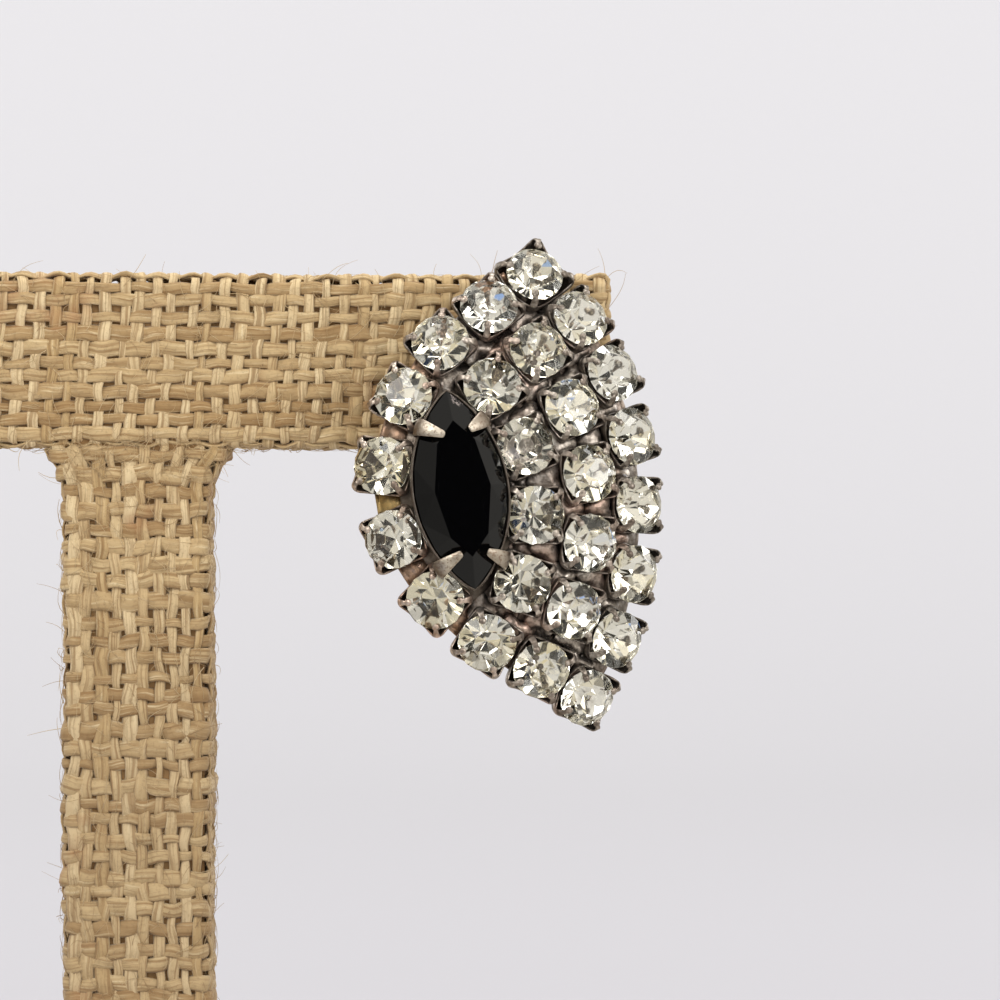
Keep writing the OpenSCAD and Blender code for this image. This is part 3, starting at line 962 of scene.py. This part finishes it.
# The cups. Each round stone sits in a square cup pressed from thin brass: its walls widen
# upwards and dip between the corners, and each corner runs up into a prong that is bent
# over the crown and pressed flat into a small bead. The plating has worn and tarnished.
cup_wall = 0.2 * mm
cup_foot_z = -2.3 * mm
cup_foot_half = 1.42 * mm
cup_rim_z = -0.5 * mm
cup_rim_half = 2.1 * mm
corner_blunt = 0.13 * mm
prong_half_w = 0.31 * mm
prong_taper = 0.16
bead_r = 0.28 * mm
bead_place = Vector((1.95, 0, 0.64)) * mm
bead_lean = 28
bead_press = (1.15, 1.0, 0.62)
# Wall columns from a corner to the middle of a side: distance from the corner, and height
# of the wall's upper edge there. Those within the prong's reach rise further.
wall_columns = [(0.0, 0.1 * mm), (0.4 * mm, 0.1 * mm), (0.75 * mm, -0.08 * mm),
                (1.25 * mm, -0.42 * mm), (2.1 * mm, -0.55 * mm)]
prong_reach = 0.5 * mm
# A prong's path above the wall, as distance from the stone's axis and height
prong_path = [(2.68 * mm, 0.12 * mm), (2.6 * mm, 0.44 * mm), (2.36 * mm, 0.68 * mm),
              (2.06 * mm, 0.68 * mm)]
wall_levels = 5
# The cups at the rows' ends are turned to lie along the earring's straight edges: number of
# the cup, counted row by row from the top, and degrees
end_turns = {0: -16, 1: -6, 6: 5, 7: 14, 8: -14, 9: -9, 13: 5, 14: 13, 15: -18, 16: -3, 20: 11}
# The first cup is wider than the others
first_cup_wide = 1.1
# How far each row's plating has worn to copper, or below zero how dark it has gone
cup_wear = {"outer": -0.62, "middle": 0.0, "inner": 0.0, "left": 0.16}


def wall_column(side, off, top):
    """Points up the cup's wall at one place along a side, and the side's turn."""
    turn = Matrix.Rotation(-side * math.pi / 2, 4, "Z")
    blunt = 0 if off else corner_blunt
    column = []
    for level in range(wall_levels + 1):
        z = cup_foot_z + (top - cup_foot_z) * level / wall_levels
        share = min((z - cup_foot_z) / (cup_rim_z - cup_foot_z), 1)
        half = cup_foot_half + (cup_rim_half - cup_foot_half) * share
        y = half * (1 - off / cup_rim_half)
        column.append(turn @ Vector((half - blunt, y - blunt, z)))
    # Past the middle of a side the nearest corner is the next one round
    near = turn if off < cup_rim_half else turn @ Matrix.Rotation(-math.pi / 2, 4, "Z")
    return column, near @ Vector((1, 1, 0)).normalized()


def cup_mesh():
    """One pressed cup with its prongs, as a thin wall that is thickened and smoothed."""
    side_length = 2 * wall_columns[-1][0]
    stations = []
    for side in range(4):
        stations += [(side, off, top) for off, top in wall_columns]
        stations += [(side, side_length - off, top) for off, top in wall_columns[-2:0:-1]]
    prongs = [min(off, side_length - off) < prong_reach for side, off, top in stations]
    grid = []
    for (side, off, top), prong in zip(stations, prongs):
        column, diagonal = wall_column(side, off, top)
        if prong:
            aside = Vector((-diagonal.y, diagonal.x, 0))
            lean = column[-1].dot(aside)
            lift = min(prong_path[0][0] - column[-1].dot(diagonal), 0)
            for k, (r, z) in enumerate(prong_path):
                wide = math.copysign(prong_half_w * (1 - prong_taper * k), lean) if off else 0
                column.append(diagonal * (r + lift) + aside * wide + Vector((0, 0, z)))
        grid.append(column)
    made = bmesh.new()
    rows = [[made.verts.new(point) for point in column] for column in grid]
    for i, column in enumerate(rows):
        j = (i + 1) % len(rows)
        levels = len(column) - 1 if prongs[i] and prongs[j] else wall_levels
        for k in range(levels):
            made.faces.new([column[k], rows[j][k], rows[j][k + 1], column[k + 1]])
    made.faces.new([column[0] for column in rows])
    bmesh.ops.remove_doubles(made, verts=made.verts, dist=0.005 * mm)
    bmesh.ops.recalc_face_normals(made, faces=made.faces)
    return ended(made, "cup")


def finished_mesh(mesh, modifiers):
    """A mesh after a list of modifiers, each given as its kind and its settings."""
    holder = add_object("holder", mesh)
    for kind, settings in modifiers:
        modifier = holder.modifiers.new(kind.lower(), kind)
        for name, setting in settings.items():
            setattr(modifier, name, setting)
    return plain_mesh(holder)


cup_steps = [
    ("SOLIDIFY", {"thickness": cup_wall, "offset": 0.0}),
    ("SUBSURF", {"levels": 1, "render_levels": 1}),
]
cup_made = bmesh.new()
cup_made.from_mesh(finished_mesh(cup_mesh(), cup_steps))
bead_form = Matrix.Rotation(math.radians(bead_lean), 4, "Y") @ Matrix.Diagonal((*bead_press, 1))
for a in range(45, 360, 90):
    bead = Matrix.Rotation(math.radians(a), 4, "Z") @ Matrix.Translation(bead_place) @ bead_form
    bmesh.ops.create_uvsphere(cup_made, u_segments=12, v_segments=8, radius=bead_r, matrix=bead)
cup = ended(cup_made, "cup")
# The darkening, partly tarnish and partly painted shade, follows the height in the cup, in
# millimetres: lower is darker. How uneven the metal is, and how fine its unevenness, come after it.
cup_state = ([vert.co.z / mm for vert in cup.vertices], 0.09 * mm, 900.0)


def studs_tree():
    """Sets a model on every point, turned and sized by the point's values, and roughens it."""
    sizes = {"Model": "Object", "Roughness": "Float", "Grain": "Float", "Material": "Material"}
    plan, given = start_tree("studs", {"Geometry": "Geometry", **sizes})
    model = plan.node("GeometryNodeObjectInfo", {}, {"Object": given["Model"]}, "Geometry")
    values = {"Points": given["Geometry"], "Instance": model}
    values |= {"Rotation": carried(plan, "aim"), "Scale": carried(plan, "size")}
    studs = plan.node("GeometryNodeInstanceOnPoints", {}, values)
    real = plan.node("GeometryNodeRealizeInstances", {}, {0: studs})
    values = {"Scale": given["Grain"], "Detail": 1.0}
    noise = plan.node("ShaderNodeTexNoise", {}, values, "Color")
    values = {0: plan.vector("SUBTRACT", noise, (0.5, 0.5, 0.5)), "Scale": given["Roughness"]}
    push = plan.node("ShaderNodeVectorMath", {"operation": "SCALE"}, values)
    moved = plan.node("GeometryNodeSetPosition", {}, {0: real, "Offset": push})
    return end_tree(plan, moved, given["Material"])


studs = studs_tree()


def studs_mesh(model_mesh, places, sizes, golds, depth, roughness, grain):
    """A copy of the model at each place, all in one mesh of plated metal."""
    mesh = bpy.data.meshes.new("spots")
    mesh.from_pydata([place.to_translation() for place in places], [], [])
    set_points(mesh, "aim", [place.to_euler() for place in places])
    set_points(mesh, "size", sizes)
    set_points(mesh, "wear", chance.random(len(places)))
    set_points(mesh, "gold", golds)
    set_points(model_mesh, "depth", depth)
    model = add_object("model", model_mesh)
    inputs = {"Model": model, "Roughness": roughness, "Grain": grain}
    done = settle(add_object("spots", mesh), studs, {**inputs, "Material": plating.material})
    bpy.data.objects.remove(model)
    return done


# Old rhodium-coloured plating: grey with a rosy cast, copper and brass where it has worn through,
# brown-black low down, partly tarnish and partly painted shade, and painted highlights and shade
# on the prong tips. Each copy's wear and gold, and each point's depth, steer it.
plating = Finish("aged plating")
blotch = plating.noise(520.0, 4.0, 0.6)
speck = plating.noise(2600.0, 3.0, 0.6)
cloud = plating.noise(190.0, 2.0, 0.5)
prong_light_and_shade = plating.noise(1050.0, 2.0, 0.6)
gold = plating.attribute("gold")
depth = plating.attribute("depth")
rosy = plating.ease(cloud + plating.attribute("wear") * 0.12, 0.55, 0.72) * 0.55
tips = plating.ease(depth, 0.25, 0.75)
worn_tone = plating.mix(plating.ease(gold, 0.6, 0.9), (0.96, 0.52, 0.28), (0.95, 0.66, 0.22))
plating_tone = plating.layered((0.34, 0.29, 0.25), [
    (plating.ease(blotch, 0.36, 0.62), (0.76, 0.69, 0.61)),
    (rosy, (0.70, 0.46, 0.36)),
])
plating_tone = plating.layered(plating.mix(gold, plating_tone, worn_tone), [
    (plating.ease(speck + blotch * 0.6, 0.68, 0.92) * (0.68 - gold * 0.3), (0.075, 0.053, 0.04)),
    # Painted shade with tarnish: what lies low is darkened, the cups' lower walls, the webs and the
    # bezel most
    (plating.ease(depth, 0.1, -0.8) * 0.8, (0.085, 0.062, 0.048)),
    # Painted highlights and painted shade on the prong tips: by a noise some are lit pale and
    # others shaded dark brown
    (tips * plating.ease(prong_light_and_shade, 0.46, 0.60) * 0.5, (0.66, 0.58, 0.50)),
    (tips * plating.ease(1 - prong_light_and_shade, 0.44, 0.57) * 0.72, (0.19, 0.15, 0.12)),
    (plating.ease(gold, 0.0, -1.0) * (0.9 - blotch * 0.5), (0.10, 0.085, 0.068)),
])
plating_gloss = plating.ease(blotch, 0.3, 0.7) * -0.16 + 0.42
plating.set(Base_Color=plating_tone, Metallic=0.85, Roughness=plating_gloss)
plating.bump(speck + blotch, 0.05 * mm, 0.7)

cup_places, cup_sizes = [], []
for i, (u, v, turn) in enumerate(sum(spots.values(), [])):
    cup_turn = turn + chance.uniform(-0.05, 0.05) + math.radians(end_turns.get(i, 0))
    cup_places.append(on_dome(u, v, cup_turn))
    wide = 1.0 if i else first_cup_wide
    cup_sizes.append((wide, wide, chance.uniform(0.97, 1.0)))
cup_golds = [cup_wear[row] for row in spots for spot in spots[row]]
cups_mesh = studs_mesh(cup, cup_places, cup_sizes, cup_golds, *cup_state)
cups = add_object("stone_cups", cups_mesh)
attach(cups, "root")
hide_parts("setting")

# The strips and the solder. Strips of the cup chain run from cup to cup along each row, and
# soft solder bridges the rows: flat runs between cups, and a three-armed lump in each hollow.
strip_z = -1.6 * mm
strip_thick = 0.5 * mm
strip_w = 2.6 * mm
# How much shorter a strip is than the way between two stones, along a row and across rows
strip_short = 2.4 * mm
bridge_short = 2.2 * mm
bridge_reach = 5.5 * mm
lump_z = -1.1 * mm
lump_reach = 1.45 * mm
lump_half_thick = 0.5 * mm
# How near three stones lie where they have a hollow between them, in millimetres
hollow_reach = 5.2
# A thin web of solder lies under each lump and in more gaps
web_z = -1.85 * mm
web_size = (2.3 * mm, 2.3 * mm, 0.3 * mm)
# How low each lies for the tarnish and painted shade, how uneven it is, and how fine its unevenness
strip_state = (-0.25, 0.35 * mm, 1100.0)
lump_state = (0.0, 0.55 * mm, 900.0)
web_state = (-0.8, 0.3 * mm, 900.0)
# How far the plating has worn off the left row's three strips, to copper and then to brass,
# and off the strips that join this row to the inner one
left_golds = [0.4, 0.85, 0.6]
left_bridge_gold = 0.5
# A bare copper spot fills the outline between the first cups of the outer and middle rows
copper_spot = (2.5, 16.6, math.radians(36), -0.8 * mm)
copper_size = (2.4 * mm, 0.9 * mm, 0.9 * mm)
copper_gold = 0.6
# More places where solder has run between the cups, on the flat pattern in millimetres
gap_spots = [(4.5, -9.4), (4.9, -10.9), (7.8, -11.8), (1.9, -7.5), (-0.4, 7.6), (4.5, 6.4),
             (5.5, 13.3), (2.5, 11.0), (7.5, 9.1)]


def slab_mesh():
    """A unit slab with softened edges and enough faces to take unevenness."""
    made = bmesh.new()
    add_block(made, (-0.5, -0.5, -0.5), (0.5, 0.5, 0.5), 0.16, 2)
    bmesh.ops.subdivide_edges(made, edges=made.edges[:], cuts=1, use_grid_fill=True)
    return ended(made, "slab")


def lump_mesh():
    """A unit lump with three arms, flat and rounded."""
    made = bmesh.new()
    bmesh.ops.create_uvsphere(made, u_segments=24, v_segments=12, radius=1)
    for vert in made.verts:
        vert.co.xy *= 0.78 + 0.22 * math.cos(3 * math.atan2(vert.co.y, vert.co.x))
    return ended(made, "lump")


def hollows():
    """The middles of the gaps between three neighbouring stones, each aimed between two."""
    outer, middle, inner, left = spots.values()
    trios = []
    for pairs, others in ((outer, middle), (middle, outer), (middle, inner), (inner, middle)):
        for a, b in zip(pairs, pairs[1:]):
            mid = ((a[0] + b[0]) / 2, (a[1] + b[1]) / 2)
            third = min(others, key=lambda c: math.dist(c[:2], mid))
            if math.dist(third[:2], mid) < hollow_reach:
                trios.append((a, b, third))
    trios += [(inner[0], inner[1], left[0]), (inner[4], inner[5], left[3])]
    middles = []
    for trio in trios:
        u, v = sum(c[0] for c in trio) / 3, sum(c[1] for c in trio) / 3
        middles.append((u, v, math.atan2(v - trio[2][1], u - trio[2][0])))
    return middles


strip_places, strip_sizes, strip_golds = [], [], []


def add_strip(a, b, shorter, gold, longest=math.inf):
    """A strip between the cups at two spots, under the dome's surface, if they are near."""
    here, there = on_dome(*a, strip_z), on_dome(*b, strip_z)
    up = (here.col[2].xyz + there.col[2].xyz).normalized()
    run = there.translation - here.translation
    if run.length >= longest:
        return
    out = (up - run * up.dot(run) / run.length_squared).normalized()
    ahead = run.normalized()
    turned = Matrix((ahead, out.cross(ahead), out)).transposed().to_4x4()
    middle = (here.translation + there.translation) / 2
    strip_places.append(Matrix.Translation(middle) @ turned)
    strip_sizes.append((run.length - shorter, strip_w, strip_thick))
    strip_golds.append(gold)


for row, after in zip(spots, [*spots, None][1:]):
    golds = left_golds if row == "left" else [0.0] * len(spots[row])
    for a, b, gold_there in zip(spots[row], spots[row][1:], golds):
        add_strip(a, b, strip_short, gold_there)
    if after:
        bridge_gold = left_bridge_gold if after == "left" else 0.0
        for a in spots[row]:
            for b in spots[after]:
                add_strip(a, b, bridge_short, bridge_gold, bridge_reach)
strip_places.append(on_dome(*copper_spot))
strip_sizes.append(copper_size)
strip_golds.append(copper_gold)
strips_mesh = studs_mesh(slab_mesh(), strip_places, strip_sizes, strip_golds, *strip_state)

hollow_spots = hollows()
lump_places = [on_dome(*spot, lump_z) for spot in hollow_spots]
lump_swells = chance.uniform(0.88, 1.12, len(lump_places))
lump_sizes = [(lump_reach * swell, lump_reach * swell, lump_half_thick) for swell in lump_swells]
lumps_mesh = studs_mesh(lump_mesh(), lump_places, lump_sizes, 0.0, *lump_state)
web_spots = hollow_spots + [(u, v, 0.0) for u, v in gap_spots]
web_places = [on_dome(*spot, web_z) for spot in web_spots]
web_sizes = [web_size] * len(web_places)
webs_mesh = studs_mesh(lump_mesh(), web_places, web_sizes, 0.0, *web_state)
solder = joined("solder_and_strips", [strips_mesh, lumps_mesh, webs_mesh], plating.material)
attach(solder, "root")
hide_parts("setting")

# The bezel. The black stone lies in a deep pointed oval cup with a thin rim, on a base plate.
# Both are pressed from brass, soldered together and plated like the cups, and are painted dark,
# partly as tarnish and partly as painted shade.
bezel_sides = 72
tip_blunt = 0.16 * mm
tip_reach = 0.8 * mm
# The bezel's wall from its foot up, over the rim and down inside: how far it stands out of
# the stone's girdle, its share of the length and width, and its height
bezel_wall = [
    (0.0, 0.55, -2.5), (0.1, 0.6, -2.5), (0.16, 0.86, -1.5), (0.2, 0.985, -0.8),
    (0.24, 1.0, -0.5), (0.24, 1.0, -0.08), (0.2, 1.0, 0.02), (0.1, 1.0, 0.05),
    (0.04, 1.0, -0.02), (0.03, 1.0, -0.4), (0.0, 0.9, -0.9),
]
# The base plate's edge, the same way
plate_wall = [
    (0.75, 1.0, -2.6), (0.87, 1.0, -2.5), (0.87, 1.0, -2.15), (0.75, 1.0, -2.05),
]


def oval_point(length, width, share):
    """A point on a pointed oval whose two arcs meet in blunt tips, from the +y tip round."""
    r = (length * length + width * width) / (4 * width)
    reach = math.asin(length / 2 / r)
    side = 1 if share < 0.5 else -1
    a = reach * (1 - 4 * (share if share < 0.5 else share - 0.5))
    return side * (r * math.cos(a) - r + width / 2), side * r * math.sin(a)


def oval_ring(out, share, z):
    """A ring round the black stone, scaled by its share and then set outwards."""
    length, width = navette_l * share + 2 * out * mm, navette_w * share + 2 * out * mm
    ring = []
    for i in range(bezel_sides):
        x, y = oval_point(length, width, i / bezel_sides)
        tip = max(0.0, abs(y) - (length / 2 - tip_reach)) / tip_reach
        ring.append(Vector((x, y - math.copysign(tip_blunt * tip * tip, y), z * mm)))
    return ring


def loft(made, rings):
    """Faces between rings of the same number of points, and over both ends."""
    rows = [[made.verts.new(point) for point in ring] for ring in rings]
    n = len(rows[0])
    for low, high in zip(rows, rows[1:]):
        for i in range(n):
            made.faces.new([low[i], low[(i + 1) % n], high[(i + 1) % n], high[i]])
    made.faces.new(rows[0][::-1])
    made.faces.new(rows[-1])


def smooth_outwards(made):
    """Turns all faces outwards and shades them smooth."""
    bmesh.ops.recalc_face_normals(made, faces=made.faces)
    for face in made.faces:
        face.smooth = True


bezel_made = bmesh.new()
for wall in (bezel_wall, plate_wall):
    loft(bezel_made, [oval_ring(*level) for level in wall])
smooth_outwards(bezel_made)
bmesh.ops.transform(bezel_made, matrix=navette_place, verts=bezel_made.verts)
bezel = add_object("bezel", ended(bezel_made, "bezel", plating.material))
# The bezel is given the depth of the lowest parts, so it is fully darkened with tarnish and painted
# shade
set_points(bezel.data, "depth", -0.9)
set_points(bezel.data, "gold", -0.7)
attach(bezel, "root")
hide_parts("setting")

# The claws. Four broad prongs rise from the bezel's foot and fold over the stone's crown
# towards its middle. Their faces are rubbed bright, and their roots have gone dark.
claw_sides = 8
# Each row is a level in millimetres: its place across and along, its height, half width and
# half thickness, and last how dark its plating has gone.
claw_levels = [
    (1.95, 5.30, -2.3, 0.62, 0.16, 1.0),
    (2.30, 5.45, -1.6, 0.66, 0.16, 1.0),
    (2.50, 5.50, -0.6, 0.72, 0.17, 1.0),
    (2.66, 5.50, 0.2, 0.74, 0.17, 1.0),
    (2.52, 5.42, 0.72, 0.70, 0.16, 0.9),
    (2.20, 5.25, 1.04, 0.63, 0.15, 0.5),
    (1.70, 4.98, 1.32, 0.50, 0.14, 0.12),
    (1.25, 4.74, 1.50, 0.33, 0.13, 0.0),
    (1.13, 4.67, 1.54, 0.27, 0.12, 0.1),
]
# What the smoothing takes off a claw's width and thickness is added first
claw_wider = 1.06
claw_thicker = 1.2
# In millimetres, how far the left and right claws reach further in, and how far the lower
# and upper pair stand lower, than the table says
claw_stretch = {-1: 0.42, 1: 0.05}
claw_drop = {-1: 0.24, 1: 0.42}
# The upper right claw's way in over the stone
claw_aim = Vector((-0.9, -0.43, 0)).normalized()


def claw_rings(sx, sy):
    """Rings of one claw, for the sign of its place across and along the stone."""
    centres = [Vector((x * sx, y * sy - claw_drop[sy], z)) * mm for x, y, z, *rest in claw_levels]
    longer = Vector((claw_aim.x * sx, claw_aim.y * sy, 0.1)) * claw_stretch[sx] * mm
    centres[-1] += longer
    centres[-2] += longer / 2
    side = Vector((-claw_aim.y * sx, claw_aim.x * sy, 0))
    rings = []
    for k, level in enumerate(claw_levels):
        before, after = centres[max(k - 1, 0)], centres[min(k + 1, len(centres) - 1)]
        thick = side.cross((after - before).normalized()).normalized()
        across, deep = level[3] * claw_wider * mm, level[4] * claw_thicker * mm
        turns = [2 * math.pi * (i + 0.5) / claw_sides for i in range(claw_sides)]
        rings.append([
            centres[k] + side * (math.cos(a) * across) + thick * (math.sin(a) * deep) for a in turns
        ])
    return rings


claws_made = bmesh.new()
for sx, sy in ((-1, -1), (-1, 1), (1, -1), (1, 1)):
    loft(claws_made, claw_rings(sx, sy))
smooth_outwards(claws_made)
bmesh.ops.transform(claws_made, matrix=navette_place, verts=claws_made.verts)
claws_rough = ended(claws_made, "claws_rough")
level_darks = np.repeat([level[5] for level in claw_levels], claw_sides)
set_points(claws_rough, "dark", np.tile(level_darks, 4))
claws_mesh = finished_mesh(claws_rough, [("SUBSURF", {"levels": 2, "render_levels": 2})])

# Rubbed plating keeps a fine hammered texture and brown marks
bright = Finish("rubbed plating")
dimples = bright.noise(3200.0, 3.0, 0.6)
bright_blot = bright.noise(700.0, 3.0, 0.6)
marks = bright.noise(4600.0, 3.0, 0.65)
bright_layers = [
    (bright.ease(bright_blot, 0.35, 0.7), (0.72, 0.65, 0.54)),
    (bright.ease(marks, 0.52, 0.60) * 0.75, (0.26, 0.18, 0.13)),
    (bright.attribute("dark") * 0.85, (0.15, 0.11, 0.085)),
]
bright_tone = bright.layered((0.42, 0.36, 0.29), bright_layers)
bright.set(Base_Color=bright_tone, Metallic=0.95, Roughness=bright_blot * 0.2 + 0.27)
bright.bump(dimples + bright_blot, 0.06 * mm, 0.8)
claws_mesh.materials.append(bright.material)
claws = add_object("claws", claws_mesh)
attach(claws, "root")
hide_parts("setting")

# The clip plate. A plain stamped plate is soldered across the backs of the cups to carry
# the clip. It has the same worn plating.
plate_centre = Vector((27.4, -8.65, 73.8)) * mm
plate_half = Vector((3.0, 0.55, 4.5)) * mm
plate_edge_r = 0.22 * mm
plate_made = bmesh.new()
add_block(plate_made, plate_centre - plate_half, plate_centre + plate_half, plate_edge_r)
plate = add_object("clip_plate", ended(plate_made, "clip_plate", plating.material))
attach(plate, "root")
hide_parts("setting")

# The ear clip. A stamped spring clip is soldered on behind: a foot on the plate, a bridge with
# folded cheeks and a hinge pin under the arm, and a round-ended paddle that grips the back.
clip_x = 27.4 * mm
half_clip = 2.3 * mm
clip_thick = 0.9 * mm
cheek_thick = 0.7 * mm
foot_y = -8.05 * mm
foot_low = 69.5 * mm
foot_high = 76.5 * mm
cheek_high = 76.4 * mm
bridge_low = 74.7 * mm
bridge_ends = (foot_y + 0.3 * mm, 3.75 * mm)
clip_edge_r = 0.2 * mm
hinge_r = 0.85 * mm
hinge_place = (clip_x, 2.9 * mm, 75.6 * mm)
paddle_half_w = 3.5 * mm
paddle_top = 89.5 * mm
paddle_middle = Vector((0, 82.5 * mm))
# The paddle's neck narrows to the clip's width: heights of its corners in millimetres
neck_heights = (80.5, 77.5, 74.8)
# Each ring of the paddle, in millimetres: how far its outline is drawn in, and its place from
# front to back
paddle_rings = [
    (1.0, 3.05), (0.55, 3.05), (0.12, 3.05), (0.0, 3.2), (0.0, 3.8), (0.12, 3.95),
    (0.55, 3.95), (0.95, 3.7), (1.3, 3.62),
]
# The foot, the bridge and its two cheeks: from and to across the clip, along and up
clip_blocks = [
    ((-half_clip, half_clip), (foot_y, foot_y + clip_thick), (foot_low, foot_high)),
    ((-half_clip, half_clip), bridge_ends, (bridge_low + clip_thick, foot_high)),
    ((-half_clip, cheek_thick - half_clip), bridge_ends, (bridge_low, cheek_high)),
    ((half_clip - cheek_thick, half_clip), bridge_ends, (bridge_low, cheek_high)),
]
clip_made = bmesh.new()
for xs, ys, zs in clip_blocks:
    low, high = (Vector((clip_x + x, y, z)) for x, y, z in zip(xs, ys, zs))
    add_block(clip_made, low, high, clip_edge_r)
lie = Matrix.Rotation(math.radians(90), 4, "Y")
bmesh.ops.create_cone(
    clip_made, cap_ends=True, segments=32, radius1=hinge_r, radius2=hinge_r, depth=2 * half_clip,
    matrix=Matrix.Translation(hinge_place) @ lie,
)
outline = []
for a in range(0, 181, 6):
    x, up = paddle_half_w * math.cos(math.radians(a)), paddle_half_w * math.sin(math.radians(a))
    outline.append(Vector((x, paddle_top - paddle_half_w + up)))
outline += [Vector((-half_clip, z * mm)) for z in neck_heights]
outline += [Vector((half_clip, z * mm)) for z in reversed(neck_heights)]
rings = []
for inset, y in paddle_rings:
    near = [corner - (corner - paddle_middle).normalized() * inset * mm for corner in outline]
    rings.append([Vector((clip_x + corner.x, y * mm, corner.y)) for corner in near])
loft(clip_made, rings)
smooth_outwards(clip_made)

# Plain nickel-toned clip metal, scuffed, with brown tarnish
clip_metal = Finish("clip metal")
clip_blot = clip_metal.noise(350.0, 4.0, 0.6)
clip_share = clip_metal.ease(clip_blot, 0.35, 0.65)
clip_tone = clip_metal.mix(clip_share, (0.62, 0.58, 0.54), (0.42, 0.35, 0.29))
clip_metal.set(Base_Color=clip_tone, Metallic=0.95, Roughness=clip_blot * 0.25 + 0.25)
clip = add_object("spring_clip", ended(clip_made, "spring_clip", clip_metal.material))
clip.data.set_sharp_from_angle(angle=math.radians(38))
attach(clip, "root")
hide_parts("ear_clip")

visual_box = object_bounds()
sizes = {
    "cad": [list(corner) for corner in cad_box],
    "visual": [list(corner) for corner in visual_box],
}
